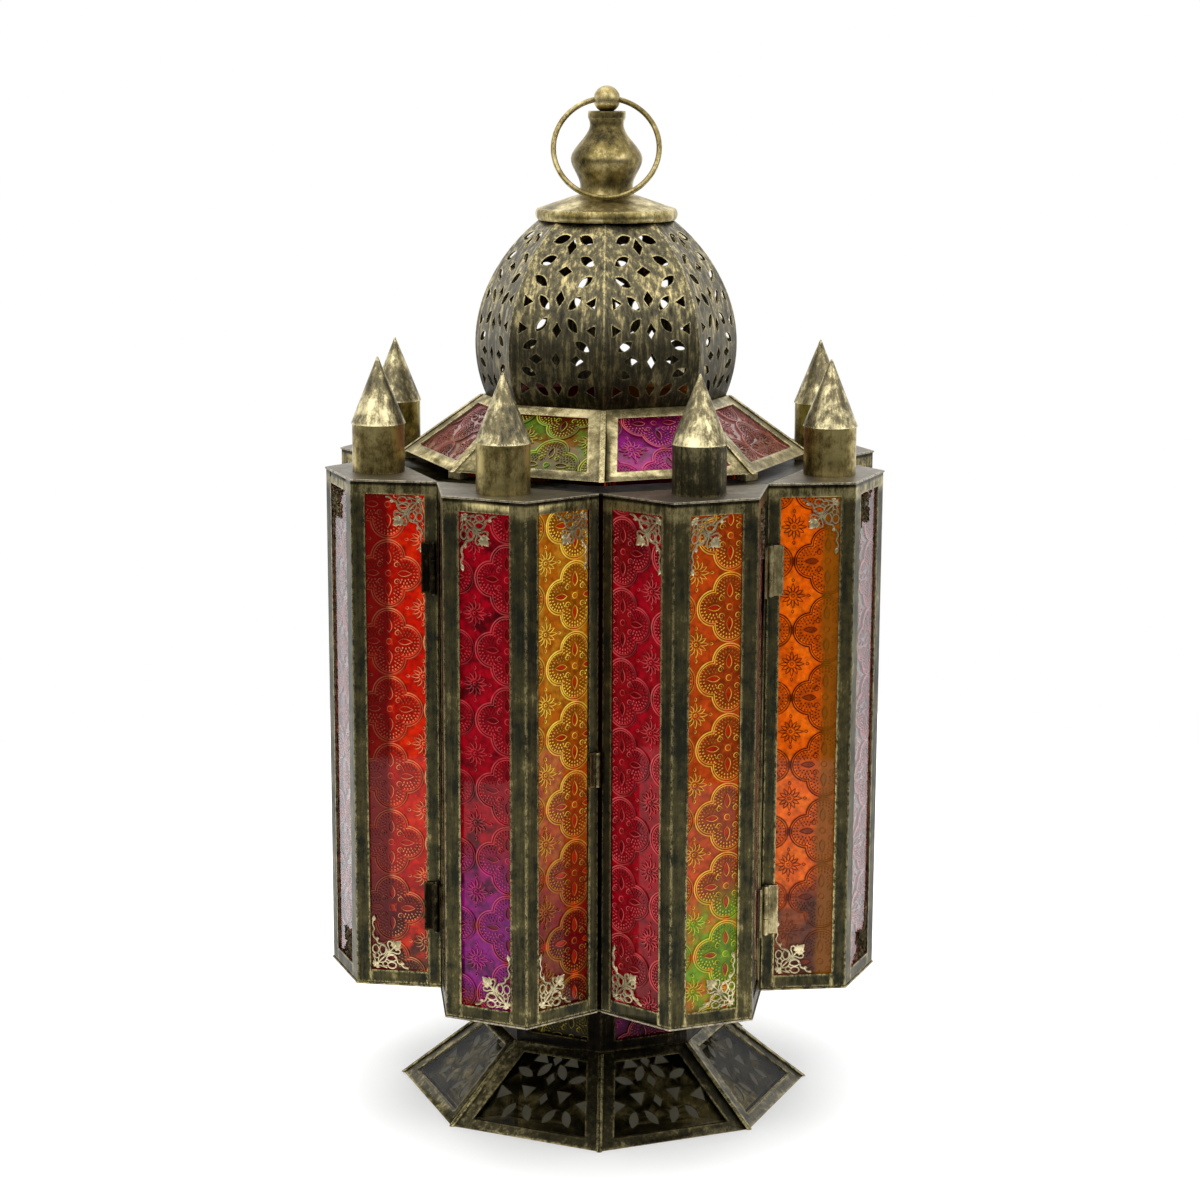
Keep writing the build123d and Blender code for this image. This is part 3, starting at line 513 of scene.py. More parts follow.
looks = {
    "flame": pressed_glass(
        "glass_flame", [(0.0, UMBER), (0.12, MAROON), (0.28, SCARLET), (1.0, SCARLET)],
        line=CREAM_RIDGE_LIGHT, between=FLAME, heart=SCARLET, shade_band=(0.42, 0.34, MAROON),
    ),
    "crimson": pressed_glass(
        "glass_crimson",
        [(0.0, DEEP_RED), (0.06, PURPLE), (0.18, PURPLE), (0.34, CRIMSON), (1.0, CRIMSON)],
        line=PINK_RIDGE_LIGHT, between=INK, heart=DEEP_RED, glint=0.45,
    ),
    "amber": pressed_glass(
        "glass_amber",
        [(0.0, MAROON), (0.18, DEEP_RED), (0.42, RUST), (0.66, AMBER), (1.0, AMBER)],
        line=GOLD_RIDGE_LIGHT, between=OCHRE, heart=RED, glint=0.95, rise=(0.25, 0.6),
    ),
    "wine": pressed_glass(
        "glass_wine", [(0.0, MAROON), (0.2, CRIMSON), (0.85, CRIMSON), (1.0, MAROON)],
        line=PINK_RIDGE_LIGHT, between=DEEP_RED, heart=DEEP_RED, glint=0.7,
    ),
    "lime": pressed_glass(
        "glass_lime", [(0.0, MOSS), (0.08, LIME), (0.18, LIME), (0.3, RUST), (1.0, RUST)],
        line=GOLD_RIDGE_LIGHT, between=BRICK, heart=RED, glint=0.62,
    ),
    "tangerine": pressed_glass(
        "glass_tangerine", [(0.0, UMBER), (0.14, UMBER), (0.26, TANGERINE), (1.0, TANGERINE)],
        line=SIENNA_RIDGE_SHADE, between=SAFFRON, heart=SIENNA, shade_band=(0.66, 0.74, OLIVE),
        glint=2.4, groove=0.02, rise=(0.1, 0.3),
    ),
    "maroon": pressed_glass(
        "glass_maroon", [(0.0, MAROON), (0.5, DEEP_RED), (1.0, MAROON)],
        line=PINK_RIDGE_LIGHT, between=INK, heart=DEEP_RED, backlight_glow=0.35,
    ),
    "violet": pressed_glass(
        "glass_violet", [(0.0, MAGENTA), (0.5, PURPLE), (1.0, MAROON)],
        line=PINK_RIDGE_LIGHT, between=MAROON, heart=MAROON, backlight_glow=0.68, glint=0.6, groove=0.5,
    ),
    "moss": pressed_glass(
        "glass_moss", [(0.0, MOSS), (0.6, OLIVE), (1.0, MAROON)],
        line=LIME_RIDGE_LIGHT, between=GREEN, heart=MAROON, backlight_glow=0.6, glint=0.65, groove=0.5,
    ),
    # Partly the glass's own dusky rose, partly a painted pale reflection of the surroundings
    "rose_and_sheen": pressed_glass(
        "glass_rose", [(0.0, CLAY_AND_SHEEN), (0.8, ROSE_AND_SHEEN), (1.0, DEEP_RED)],
        line=PINK_RIDGE_LIGHT, between=ROSE_AND_SHEEN, heart=CLAY_AND_SHEEN, backlight_glow=0.45, glint=0.3, groove=0.6,
    ),
    "leaf": pressed_glass(
        "glass_leaf", [(0.0, GREEN), (0.6, MOSS), (1.0, GREEN)],
        line=GOLD_RIDGE_LIGHT, between=OLIVE, heart=GREEN, backlight_glow=0.4,
    ),
    # Painted shade: the neck panes lie in shade, so these two looks barely glow and mirror little
    "purple_shade": pressed_glass(
        "glass_dusk", [(0.0, MAROON), (0.6, PURPLE), (1.0, INK)],
        line=PINK_RIDGE_LIGHT, between=INK, heart=INK, backlight_glow=0.08, polish=0.15,
    ),
    "shade": pressed_glass(
        "glass_shade", [(0.0, INK), (0.6, MOSS), (1.0, INK)],
        line=GOLD_RIDGE_LIGHT, between=INK, heart=INK, backlight_glow=0.08, polish=0.15,
    ),
}
clear_skin = cover_glass("glass_skin")
ripple = rippled_glass("glass_rippled")

# Panes of each turret from left to right seen from outside
turret_looks = {
    "turret_1_glass": ("amber", "maroon", "flame"),
    "left_door_glass": ("maroon", "crimson", "amber"),
    "right_door_glass": ("wine", "lime", "maroon"),
    "turret_6_glass": ("tangerine", "maroon", "crimson"),
    "turret_2_glass": ("wine", "crimson", "amber"),
    "turret_3_glass": ("tangerine", "amber", "flame"),
    "turret_4_glass": ("crimson", "lime", "wine"),
    "turret_5_glass": ("amber", "flame", "tangerine"),
}


# Meshes

class Shell:
    """Points and faces gathered into a piece, with a place on the glass for each point."""

    def __init__(self):
        self.points = []
        self.faces = []
        self.slots = []
        self.places = []
        self.cells = []

    def add(self, points, faces, slot=0, places=None, cells=None):
        """Join a set of points and its faces; faces number their own points from 0."""
        start = len(self.points)
        self.points += [tuple(point) for point in points]
        self.faces += [tuple(start + index for index in face) for face in faces]
        self.slots += [slot] * len(faces)
        if places is not None:
            self.places.append(np.asarray(places))
            self.cells.append(np.asarray(cells))

    def piece(self, name, materials):
        """The finished object in the scene."""
        mesh = bpy.data.meshes.new(name)
        mesh.from_pydata(self.points, [], self.faces)
        for material in materials:
            mesh.materials.append(material)
        mesh.polygons.foreach_set("material_index", self.slots)
        mesh.polygons.foreach_set("use_smooth", [True] * len(self.faces))
        for label, rows in (("pane", self.places), ("cell", self.cells)):
            if rows:
                layer = mesh.attributes.new(label, "FLOAT_VECTOR", "POINT")
                layer.data.foreach_set("vector", np.concatenate(rows).astype(np.float32).ravel())
        mesh.set_sharp_from_angle(angle=CREASE)
        mesh.update()
        return link(bpy.data.objects.new(name, mesh))


def link(piece):
    """Put an object in the scene."""
    bpy.context.scene.collection.objects.link(piece)
    return piece


def stand_for(piece, node):
    """Let a piece take the place and the body of a CAD node, whose own mesh is hidden."""
    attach(piece, nodes[node]["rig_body"])
    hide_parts(node)


def welded(node):
    """A CAD node's mesh with its seams closed and its flat faces whole."""
    bm = bmesh.new()
    bm.from_mesh(nodes[node].data)
    bmesh.ops.remove_doubles(bm, verts=bm.verts, dist=WELD)
    bmesh.ops.dissolve_limit(bm, angle_limit=FLAT, verts=bm.verts, edges=bm.edges)
    bm.normal_update()
    return bm


def islands(bm):
    """Lists of the faces of each separate solid."""
    seen = set()
    found = []
    for first in bm.faces:
        if first in seen:
            continue
        seen.add(first)
        stack = [first]
        group = []
        while stack:
            face = stack.pop()
            group.append(face)
            for edge in face.edges:
                for other in edge.link_faces:
                    if other not in seen:
                        seen.add(other)
                        stack.append(other)
        found.append(group)
    return found


def ribbon(path, width, height, closed):
    """Points, faces, 0 to 1 heights and -1 to 1 turns to the glint of a bead along a flat path."""
    path = np.asarray(path)
    if closed:
        ahead, behind = np.roll(path, -1, axis=0), np.roll(path, 1, axis=0)
    else:
        ahead = np.vstack([path[1:], path[-1:]])
        behind = np.vstack([path[:1], path[:-1]])
    along = ahead - behind
    along /= np.maximum(np.linalg.norm(along, axis=1, keepdims=True), 1e-12)
    side = np.column_stack([-along[:, 1], along[:, 0]])
    count = len(path)
    lines = len(RIDGE)
    points = []
    turns = []
    for offset, level, share in RIDGE:
        place = path + side * offset * width
        lift = np.full((count, 1), height * level if level else -BEAD_SINK)
        points.append(np.hstack([place, lift]))
        turns.append(-share * (side @ GLINT))
    levels = np.repeat([level for _, level, _ in RIDGE], count)
    faces = []
    for k in range(count if closed else count - 1):
        n = (k + 1) % count
        for row in range(lines):
            a, b = row * count, ((row + 1) % lines) * count
            faces.append((a + k, a + n, b + n, b + k))
    if not closed:
        faces.append(tuple(row * count for row in range(lines)))
        faces.append(tuple(row * count + count - 1 for row in reversed(range(lines))))
    return np.concatenate(points), faces, levels, np.concatenate(turns)


def arc(middle, radius, start, end, step=BEAD_STEP):
    """Points along a circle between two angles in radians."""
    count = max(3, int(abs(end - start) * radius / step) + 1)
    angles = np.linspace(start, end, count)
    return np.asarray(middle) + radius * np.column_stack([np.cos(angles), np.sin(angles)])


def leaf(tip, tail, half_width, count=6):
    """Closed outline of a pointed leaf between two points."""
    tail, tip = np.asarray(tail), np.asarray(tip)
    along = tip - tail
    side = np.array([-along[1], along[0]]) / np.linalg.norm(along)
    shares = np.linspace(0, 1, count)
    bulge = half_width * np.sin(np.pi * shares**0.8)
    right = tail + np.outer(shares, along) + np.outer(bulge, side)
    left = tail + np.outer(shares, along) - np.outer(bulge, side)
    return np.vstack([right, left[-2:0:-1]])


# Pressed pattern: quatrefoils with daisies between them

def polar(radius, angle):
    """Flat point at a distance and an angle in degrees."""
    return radius * np.array([math.cos(math.radians(angle)), math.sin(math.radians(angle))])


def spun(point, angle):
    """Flat point turned about the origin by an angle in degrees."""
    return polar(np.linalg.norm(point), math.degrees(math.atan2(point[1], point[0])) + angle)


def lobes(radius):
    """Four arcs of a quatrefoil outline, each from cusp to cusp."""
    reach = (LOBE_OFFSET + math.sqrt(2 * radius**2 - LOBE_OFFSET**2)) / 2
    half = math.atan2(reach, reach - LOBE_OFFSET)
    return [
        arc(polar(LOBE_OFFSET, angle), radius, math.radians(angle) - half, math.radians(angle) + half)
        for angle in range(0, 360, 90)
    ]


def stipple():
    """Ends of the dots in the lobe to the right, clear of its spade and of its neighbours."""
    tail, tip, half_width = SPADE
    reach = DOT[0] / 2
    dots = []
    for radius, count in STIPPLE:
        for turn in np.linspace(-STIPPLE_SPREAD, STIPPLE_SPREAD, 2 * count + 1):
            ends = [np.array([LOBE_OFFSET, 0]) + polar(radius + end, turn) for end in (-reach, reach)]
            x, y = ends[0]
            on_spade = tail < x < tip and abs(y) < half_width + SPADE_MARGIN
            if not on_spade and abs(y) < x - LOBE_MARGIN:
                dots.append(ends)
    return dots


def quatrefoil():
    """Ridges of one quatrefoil about its middle, as path, width, height and closed."""
    ridges = []
    for radius, width in OUTLINES:
        ridges += [(path, width, OUTLINE_RISE * width, False) for path in lobes(radius)]
    tail, tip, half_width = SPADE
    turns = np.linspace(0, CURL_TURN, CURL_POINTS)
    radii = np.linspace(*CURL_RADII, CURL_POINTS)
    curl = np.column_stack([radii * np.cos(turns), radii * np.sin(turns)])
    for angle in range(0, 360, 90):
        ridges += [([spun(end, angle) for end in ends], *DOT, False) for ends in stipple()]
        spade = leaf(polar(tip, angle), polar(tail, angle), half_width)
        ridges.append((spade, *FINE, True))
        ridges.append((polar(CURL_OFFSET, angle + 45) + curl, *CURL, False))
    ridges.append((arc((0, 0), HUB_R, 0, HUB_TURN), *CURL, True))
    return ridges


def daisy():
    """Ridges of one daisy about its middle."""
    ridges = [(arc((0, 0), EYE_R, 0, EYE_TURN), *EYE, True)]
    for k in range(PETALS):
        angle = 360 / PETALS * k
        reach = SHORT_PETAL if k % 3 else LONG_PETAL
        outline = leaf(polar(reach, angle), polar(PETAL_FOOT, angle), PETAL_HALF_WIDTH)
        ridges.append((outline, *PETAL, True))
    tail, tip, half_width = DAISY_LEAF
    for angle in range(0, 360, 90):
        ridges.append((leaf(polar(tip, angle), polar(tail, angle), half_width), *FINE, True))
    return ridges


QUATREFOIL = quatrefoil()
DAISY = daisy()


def clipped(path, closed, sides):
    """Runs of a path inside a convex outline, given as outward normals and distances."""
    path = np.asarray(path)
    if closed:
        path = np.vstack([path, path[:1]])
    normals = np.array([normal for normal, _ in sides])
    room = np.array([limit for _, limit in sides]) - path @ normals.T
    if (room >= 0).all():
        return [(path[:-1] if closed else path, closed)]
    if (room < 0).all(axis=0).any():
        return []
    runs = []
    run = []
    for k in range(len(path) - 1):
        start, end = 0.0, 1.0
        for before, after in zip(room[k], room[k + 1]):
            if before < 0 and after < 0:
                start = end = 2.0
            elif before < 0:
                start = max(start, before / (before - after))
            elif after < 0:
                end = min(end, before / (before - after))
        if start < end <= 1.0:
            step = path[k + 1] - path[k]
            if not run:
                run = [path[k] + step * start]
            run.append(path[k] + step * end)
        if run and (end < 1.0 or start >= end):
            runs.append(run)
            run = []
    if run:
        runs.append(run)
    lengths = [np.linalg.norm(np.diff(run, axis=0), axis=1).sum() for run in runs]
    return [(np.array(run), False) for run, length in zip(runs, lengths) if length > SHORTEST_RUN]


class Pane:
    """Front face of one sheet of glass: its middle, its directions and its outline, and whether
    the front view sees it along its face."""

    def __init__(self, group):
        def outwards(face):
            middle = face.calc_center_median()
            away = Vector((middle.x, middle.y, 0))
            return face.calc_area() * math.copysign(1, face.normal.dot(away))

        front = max(group, key=outwards)
        self.group = group
        self.aside = False
        self.out = front.normal.copy()
        self.up = (Vector((0, 0, 1)) - self.out * self.out.z).normalized()
        self.across = self.up.cross(self.out)
        self.middle = front.calc_center_median()
        self.outline = [self.flat(vert.co) for vert in front.verts]
        corners = np.array(self.outline)
        self.low = corners.min(axis=0)
        self.size = corners.max(axis=0) - self.low

    def flat(self, point):
        """Place of a point across and up the pane."""
        offset = point - self.middle
        return (offset.dot(self.across), offset.dot(self.up))

    def share(self, place):
        """Place as shares of the pane's width and height."""
        return (np.asarray(place) - self.low) / self.size

    def lift(self, points):
        """Points across, up and out of the pane, in the lantern's frame."""
        axes = np.array([self.across, self.up, self.out])
        return np.array(self.middle) + np.asarray(points) @ axes

    def sides(self, lap):
        """Outward normals and distances of the window that the strips leave."""
        found = []
        corners = np.array(self.outline)
        for start, end in zip(corners, np.roll(corners, -1, axis=0)):
            along = (end - start) / np.linalg.norm(end - start)
            normal = np.array([along[1], -along[0]])
            found.append((normal, normal @ start - lap))
        return found


def glaze(shell, pane, slot, phase, depth=RELIEF_DEPTH):
    """Add a pane to a shell: its coloured sheet at a depth and the ridges pressed on it."""
    phase = np.array(phase)

    def put(points, faces, flat, levels, turns):
        places = np.column_stack([pane.share(flat), levels])
        cells = np.column_stack([flat / PITCH - phase, turns])
        shell.add(points, faces, slot, places, cells)

    verts = list(dict.fromkeys(vert for face in pane.group for vert in face.verts))
    index = {vert: k for k, vert in enumerate(verts)}
    fore = [(vert.co - pane.middle).dot(pane.out) > -depth for vert in verts]
    points = [vert.co - pane.out * depth * near for vert, near in zip(verts, fore)]
    flat = np.array([pane.flat(vert.co) for vert in verts])
    faces = [[index[vert] for vert in face.verts] for face in pane.group]
    put(points, faces, flat, np.where(fore, 0.5, -1.0), np.zeros(len(flat)))
    sides = pane.sides(GLASS_LAP)
    start = np.floor(pane.low / PITCH - phase).astype(int) - 1
    count = np.ceil(pane.size / PITCH).astype(int) + 3
    for column in range(count[0]):
        for row in range(count[1]):
            cell = (start + (column, row) + phase) * PITCH
            for figure, shift in ((QUATREFOIL, 0.0), (DAISY, 0.5)):
                for path, width, height, closed in figure:
                    moved = np.asarray(path) + cell + shift * PITCH
                    for run, loop in clipped(moved, closed, sides):
                        local, faces, levels, turns = ribbon(run, width, height, loop)
                        lifted = pane.lift(local - (0, 0, depth))
                        put(lifted, faces, local[:, :2], levels, turns)


def add_skin(shell, pane, slot):
    """Thin smooth sheet in front of a pane's relief."""
    outline = np.array(pane.outline)
    count = len(outline)
    front = np.column_stack([outline, np.zeros(count)])
    back = np.column_stack([outline, np.full(count, -SKIN)])
    faces = [tuple(range(count)), tuple(range(2 * count - 1, count - 1, -1))]
    faces += [(k, count + k, count + (k + 1) % count, (k + 1) % count) for k in range(count)]
    blank = np.zeros((2 * count, 3))
    shell.add(pane.lift(np.vstack([front, back])), faces, slot, blank, blank)


def panes_of(node):
    """A node's mesh, which its panes need while they are glazed, and the panes from left to
    right seen from outside."""
    bm = welded(node)
    found = [Pane(group) for group in islands(bm)]
    middle = sum((pane.out for pane in found), Vector())

    def turn(pane):
        aside = middle.x * pane.out.y - middle.y * pane.out.x
        return math.atan2(aside, middle.xy.dot(pane.out.xy))

    return bm, sorted(found, key=turn)


# Each pane is cut at its own place in the pattern; the phases are shares of the repeat
phases = {
    "turret_1_glass": ((0.3, 0.2), (0.5, 0.7), (-0.14, 0.41)),
    "left_door_glass": ((0.2, 0.5), (0.33, 0.65), (0.20, 0.37)),
    "right_door_glass": ((-0.25, 0.98), (0.23, 0.26), (0.4, 0.1)),
    "turret_6_glass": ((0.30, 0.63), (0.2, 0.3), (0.7, 0.6)),
    "turret_2_glass": ((0.1, 0.8), (0.0, 0.1), (0.6, 0.3)),
    "turret_3_glass": ((0.5, 0.4), (0.3, 0.9), (0.15, 0.55)),
    "turret_4_glass": ((0.85, 0.2), (0.45, 0.5), (0.05, 0.75)),
    "turret_5_glass": ((0.25, 0.65), (0.6, 0.0), (0.35, 0.35)),
}
# The pane of each turret that the front view sees along its face
sideways = {node: 1 for node in turret_looks} | {"left_door_glass": 0, "right_door_glass": 2}
turret_panes = []
for node, names in turret_looks.items():
    bm, panes = panes_of(node)
    shell = Shell()
    for slot, (pane, phase) in enumerate(zip(panes, phases[node])):
        pane.aside = slot == sideways[node]
        if pane.aside:
            glaze(shell, pane, slot, phase, RELIEF_DEPTH + SKIN + SKIN_GAP)
            add_skin(shell, pane, len(panes))
        else:
            glaze(shell, pane, slot, phase)
        turret_panes.append(pane)
    piece = shell.piece(node + "_pressed", [looks[name] for name in names] + [clear_skin])
    stand_for(piece, node)


# Place in the pattern of the first leaning pane, and the step from one to the next
PANEL_PHASE = np.array([0.0, 0.4])
PANEL_STEP = np.array([0.17, 0.31])


def panel_glass(node, names):
    """Eight leaning panes round the lantern, their looks from the front to the right."""
    bm, panes = panes_of(node)
    panes.sort(key=lambda pane: math.atan2(pane.out.x, -pane.out.y) % (2 * math.pi))
    shell = Shell()
    for k, pane in enumerate(panes):
        glaze(shell, pane, k, PANEL_PHASE + k * PANEL_STEP)
    piece = shell.piece(node + "_pressed", [looks[name] for name in names])
    stand_for(piece, node)


panel_glass("roof_panes", ("violet", "rose_and_sheen", "leaf", "amber", "violet", "moss", "rose_and_sheen", "moss"))
# The neck panes take the darkened looks, which paint the shade under the turrets
panel_glass("neck_panes", ("purple_shade", "shade") * 4)


# Filigree corners

def wave(points, count=5):
    """Smooth line through points."""
    points = np.array(points, dtype=float)
    ends = np.vstack([2 * points[0] - points[1], points, 2 * points[-1] - points[-2]])
    line = []
    for k in range(1, len(ends) - 2):
        a, b, c, d = ends[k - 1:k + 3]
        for t in np.linspace(0, 1, count, endpoint=False):
            line.append(0.5 * (2 * b + (c - a) * t + (2 * a - 5 * b + 4 * c - d) * t**2
                               + (3 * b - a - 3 * c + d) * t**3))
    line.append(points[-1])
    return np.array(line)


def oval(middle, across, down, count=14):
    """Closed ellipse."""
    turns = np.linspace(0, 2 * math.pi, count, endpoint=False)
    return np.column_stack([middle[0] + across * np.cos(turns), middle[1] + down * np.sin(turns)])


def corner_ornament():
    """Paths of one corner, in millimetres along the rail and down the strip, with shares of
    the wire's width, and its leaves by tip, tail and half width."""
    half = [
        (oval((8.7, 1.9), 1.8, 1.35), True, 1.0),
        (oval((8.6, 4.9), 2.1, 1.35), True, 1.0),
        (wave([
            (15.6, 0.7), (13.9, 1.1), (12.6, 2.3), (11.2, 3.0),
            (10.7, 4.6), (9.2, 6.4), (7.2, 6.6), (5.4, 5.4),
        ]), False, 1.2),
        (wave([
            (6.4, 6.4), (8.6, 7.6), (10.6, 7.0), (11.9, 7.2),
            (12.1, 8.3), (11.1, 8.8), (10.3, 8.2),
        ]), False, 1.0),
        (oval((5.9, 2.4), 1.1, 1.0), True, 0.9),
        (wave([(2.0, 2.0), (3.6, 1.6), (5.0, 1.2), (6.6, 0.7)]), False, 0.9),
        (wave([(3.0, 3.0), (4.4, 3.0), (5.8, 3.6), (6.6, 4.8)]), False, 0.9),
    ]
    paths = []
    for path, closed, width in half:
        paths.append((path, closed, width))
        paths.append((path[:, ::-1], closed, width))
    paths.append((wave([(1.2, 1.2), (4.0, 4.0), (7.0, 7.0), (10.4, 10.4)]), False, 1.2))
    paths.append((wave([(0.7, 15.6), (1.4, 17.4), (0.7, 19.2), (1.0, 21.0)]), False, 1.0))
    leaves = [
        ((12.6, 12.6), (9.6, 9.6), 1.5),
        ((12.9, 9.8), (9.4, 9.2), 1.1),
        ((9.8, 12.9), (9.2, 9.4), 1.1),
        ((0.6, 3.8), (1.6, 1.4), 0.8),
        ((3.8, 0.6), (1.4, 1.6), 0.8),
        ((3.4, 3.4), (1.0, 1.0), 0.9),
        ((1.6, 23.2), (0.9, 20.4), 0.8),
        ((14.2, 2.6), (12.2, 2.6), 0.6),
        ((2.6, 14.2), (2.6, 12.2), 0.6),
    ]
    return paths, leaves


def solid_leaf(tip, tail, half_width, height):
    """Points and faces of a leaf with a raised rib."""
    outline = leaf(tip, tail, half_width)
    count = len(outline)
    half = count // 2
    rib = [(outline[k] + outline[(count - k) % count]) / 2 for k in range(half + 1)]
    points = [(x, y, height * LEAF_RIM) for x, y in outline]
    points += [(x, y, 0.0) for x, y in outline]
    points += [(x, y, height) for x, y in rib]
    faces = []
    for k in range(count):
        n = (k + 1) % count
        faces.append((count + k, count + n, n, k))
        a = 2 * count + (k if k <= half else count - k)
        b = 2 * count + (n if n <= half else count - n)
        faces.append(tuple(dict.fromkeys([k, n, b, a])))
    faces.append(tuple(range(2 * count - 1, count - 1, -1)))
    return points, faces


ORNAMENT, ORNAMENT_LEAVES = corner_ornament()


def nearest_pane(point):
    """The pane that a point lies on: close to its plane first, then to its middle."""
    def distance(pane):
        offset = point - pane.middle
        return abs(offset.dot(pane.out)) + MIDDLE_WEIGHT * offset.length

    return min(turret_panes, key=distance)


def add_corner(shell, pane, corner, toward):
    """Add one openwork corner to a shell, from a corner of its pane inwards."""
    shapes = []
    for path, closed, width in ORNAMENT:
        points, faces, _, _ = ribbon(path * MM, width * WIRE_WIDTH, WIRE_HEIGHT, closed)
        shapes.append((points, faces))
    for tip, tail, half_width in ORNAMENT_LEAVES:
        tip, tail = np.array(tip) * MM, np.array(tail) * MM
        shapes.append(solid_leaf(tip, tail, half_width * MM, WIRE_HEIGHT))
    for points, faces in shapes:
        local = np.asarray(points, dtype=float)
        spread = corner - toward * local[:, :2]
        if toward[0] * toward[1] > 0:
            faces = [face[::-1] for face in faces]
        placed = pane.lift(np.column_stack([spread, local[:, 2] + WIRE_LIFT]))
        # Filigree on a pane seen along its face takes the second slot, which is painted dark
        shell.add(placed, faces, int(pane.aside))


def filigree(node):
    """Openwork corners in the places of a node's solids."""
    bm = welded(node)
    shell = Shell()
    for group in islands(bm):
        points = [vert.co for face in group for vert in face.verts]
        pane = nearest_pane(sum(points, Vector()) / len(points))
        flat = np.array([pane.flat(point) for point in points])
        toward = np.sign(flat.mean(axis=0) - (pane.low + pane.size / 2))
        corner = np.where(toward < 0, flat.min(axis=0), flat.max(axis=0))
        add_corner(shell, pane, corner, toward)
    piece = shell.piece(node + "_scroll", [scroll, shaded_scroll])
    stand_for(piece, node)


for node in ("turret_filigree", "left_door_filigree", "right_door_filigree"):
    filigree(node)


# Sheet metal with rounded folds and cut edges

own_finish = {
    "turret_top_plates": satin, "left_door_plates": satin, "right_door_plates": satin,
    "roof_frames": weathered, "roof_ridges": weathered, "roof_tabs": weathered,
    # The neck frames and the left hinge leaves take the near-black finish, which is painted shade
    "foot_frames": tarnished, "foot_ridges": antique, "foot_lattice": weathered, "neck_frames": in_shade,
    "left_hinge_post_leaves": in_shade, "left_hinge_door_leaves": in_shade,
    "right_hinge_post_leaves": weathered, "right_hinge_door_leaves": weathered,
    "pinnacle_barrels": barrel, "left_door_barrel": barrel, "right_door_barrel": tarnished,
    "pinnacle_cones": flaked, "left_door_cone": flaked, "right_door_cone": flaked,
    "dome_gores": pierced, "foot_panes": ripple,
    "finial": turned, "top_ball": turned, "carrying_ring": turned,
}


def finish_of(node):
    """A node's own finish, or the one of its material slot."""
    return own_finish.get(node, metal_of.get(slot_of[node], antique))


def softened(node):
    """A sheet node with its edges rounded off."""
    bm = welded(node)
    mesh = bpy.data.meshes.new(node + "_sheet")
    bm.to_mesh(mesh)
    bm.free()
    if "custom_normal" in mesh.attributes:
        mesh.attributes.remove(mesh.attributes["custom_normal"])
    mesh.polygons.foreach_set("use_smooth", [True] * len(mesh.polygons))
    mesh.materials.clear()
    mesh.materials.append(finish_of(node))
    piece = link(bpy.data.objects.new(node + "_sheet", mesh))
    bevel = piece.modifiers.new("rounded", "BEVEL")
    bevel.width = SOFT_EDGE
    bevel.segments = 2
    bevel.limit_method = "ANGLE"
    bevel.angle_limit = FOLD
    bevel.harden_normals = True
    stand_for(piece, node)


sheet_nodes = [f"turret_{k}_frame" for k in range(1, 7)]
sheet_nodes += ["left_door_frame", "right_door_frame", "turret_top_plates", "turret_bottom_plates"]
sheet_nodes += ["left_door_plates", "right_door_plates", "roof_frames", "roof_ridges", "roof_tabs"]
sheet_nodes += ["foot_frames", "foot_ridges", "neck_frames", "lintel_ring", "floor_plate"]
for node in sheet_nodes:
    softened(node)


def solder_seam(azimuth):
    """Lumpy line of solder in the valley between two fixed turrets."""
    shell = Shell()
    heights = np.linspace(SEAM_FOOT, SEAM_HEAD, SEAM_RINGS)
    turns = np.linspace(0, 2 * math.pi, SEAM_SIDES, endpoint=False)

    def swell(share, rate, phase=0.0):
        return share * np.sin(heights * rate + phase)

    radii = SEAM_R * (1 + swell(*LONG_LUMPS, azimuth) + swell(*SHORT_LUMPS))
    middle = VALLEY_R * np.array([math.sin(azimuth), -math.cos(azimuth)])
    points = []
    for height, radius in zip(heights, radii):
        for turn in turns:
            x, y = middle + radius * np.array([math.cos(turn), math.sin(turn)])
            points.append((x, y, height))
    faces = []
    for ring in range(SEAM_RINGS - 1):
        for k in range(SEAM_SIDES):
            a, b = ring * SEAM_SIDES + k, ring * SEAM_SIDES + (k + 1) % SEAM_SIDES
            faces.append((a, b, b + SEAM_SIDES, a + SEAM_SIDES))
    faces.append(tuple(reversed(range(SEAM_SIDES))))
    faces.append(tuple(range((SEAM_RINGS - 1) * SEAM_SIDES, SEAM_RINGS * SEAM_SIDES)))
    shell.add(points, faces)
    piece = shell.piece(f"solder_seam_{round(math.degrees(azimuth))}", [tarnished])
    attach(piece, "lantern")


# From the valley on the right round the back to the one on the left, in degrees from the front
for turn in range(90, 271, 45):
    solder_seam(math.radians(turn))

# The other CAD nodes keep their shape and get their finish
for name, node in nodes.items():
    if not node.hide_render:
        node.data.materials.clear()
        node.data.materials.append(finish_of(name))


# Stage

def area_light(name, place, size, power):
    """Soft box that looks at the lantern."""
    data = bpy.data.lights.new(name, "AREA")
    data.shape = "DISK"
    data.size = size
    data.energy = power
    light = link(bpy.data.objects.new(name, data))
    light.location = place
    light.rotation_euler = (Vector(place) - AIM).to_track_quat("Z", "Y").to_euler()


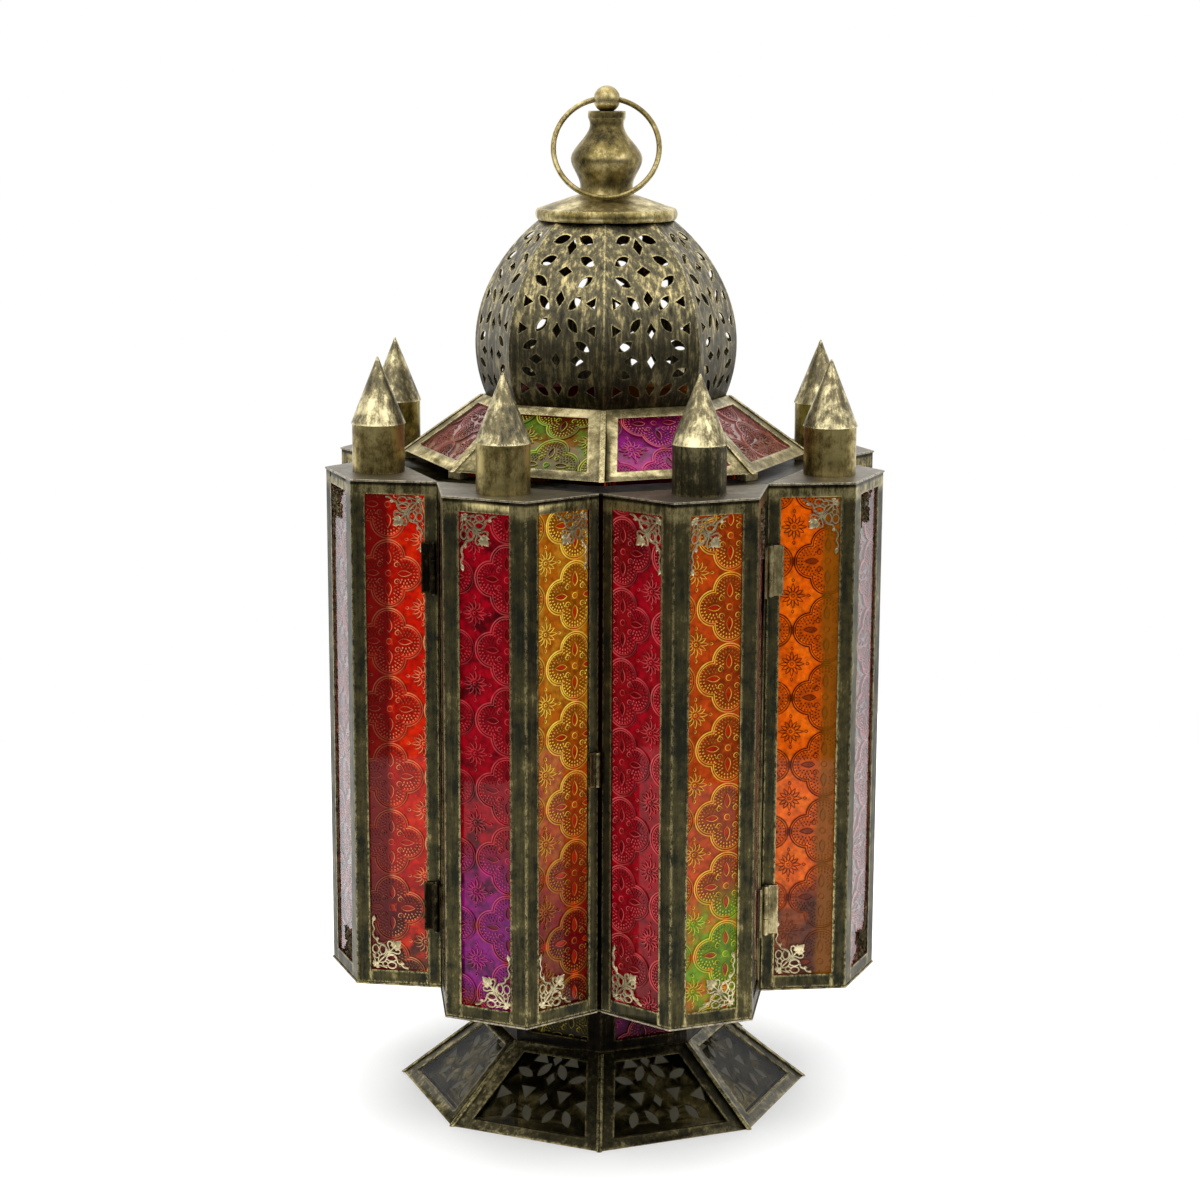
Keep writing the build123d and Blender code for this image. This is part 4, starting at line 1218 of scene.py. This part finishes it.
def white_floor():
    """Round pale floor under the lantern."""
    mesh = bpy.data.meshes.new("floor")
    last = 2 * math.pi * (FLOOR_SIDES - 1) / FLOOR_SIDES
    rim = arc((0, 0), FLOOR_R, 0, last, step=2 * math.pi * FLOOR_R / FLOOR_SIDES)
    mesh.from_pydata([(x, y, 0) for x, y in rim], [], [tuple(range(len(rim)))])
    g = Graph("floor_white")
    pale, white = linear(248, 248, 248), linear(252, 252, 252)
    speck = g.ramp(g.noise(8, detail=2), [(0.3, pale), (0.7, white)])
    mesh.materials.append(g.finish(
        base_color=speck, roughness=0.6, emission_color=speck, emission_strength=FLOOR_GLOW,
    ))
    link(bpy.data.objects.new("floor", mesh))


def studio_world():
    """White surroundings that leave the low front dark, where the photographer stands."""
    g = Graph("studio", bpy.data.worlds, "Background")
    toward = g.add("SeparateXYZ", {0: g.add("TexCoord").outputs["Generated"]})
    behind = g.remap(toward.outputs["Y"], -0.3, 0.5)
    above = g.remap(toward.outputs["Z"], 0.05, 0.6)
    front = g.remap(toward.outputs["Z"], -0.02, 0.06, UNDER, SHADE)
    strength = g.remap(g.math("MAXIMUM", behind, above), 0.0, 1.0, front, SKY)
    seen = g.add("LightPath").outputs["Is Camera Ray"]
    strength = g.math("MULTIPLY", strength, g.math("SUBTRACT", 1.0, seen))
    bpy.context.scene.world = g.finish(color=WHITE, strength=g.math("ADD", strength, seen))


def photo_camera():
    """Camera where the photograph was taken from."""
    data = bpy.data.cameras.new("camera")
    data.lens = LENS
    data.sensor_width = SENSOR
    data.shift_x = CAMERA_SHIFT
    camera = link(bpy.data.objects.new("camera", data))
    flat = CAMERA_DISTANCE * math.cos(CAMERA_PITCH)
    back = Vector((flat * math.sin(CAMERA_AZIMUTH), -flat * math.cos(CAMERA_AZIMUTH),
                   CAMERA_DISTANCE * math.sin(CAMERA_PITCH)))
    camera.location = AIM + back
    turn = back.to_track_quat("Z", "Y").to_matrix() @ Matrix.Rotation(CAMERA_ROLL, 3, "Z")
    camera.rotation_euler = turn.to_euler()
    bpy.context.scene.camera = camera


white_floor()
studio_world()
area_light("key", (-0.8, -1.3, 1.4), 1.6, 7.0)
area_light("fill", (1.2, -0.9, 1.1), 0.9, 3.6)
area_light("top", (0.0, 0.3, 1.9), 1.8, 8.0)
photo_camera()
bpy.context.scene.view_settings.view_transform = "Standard"
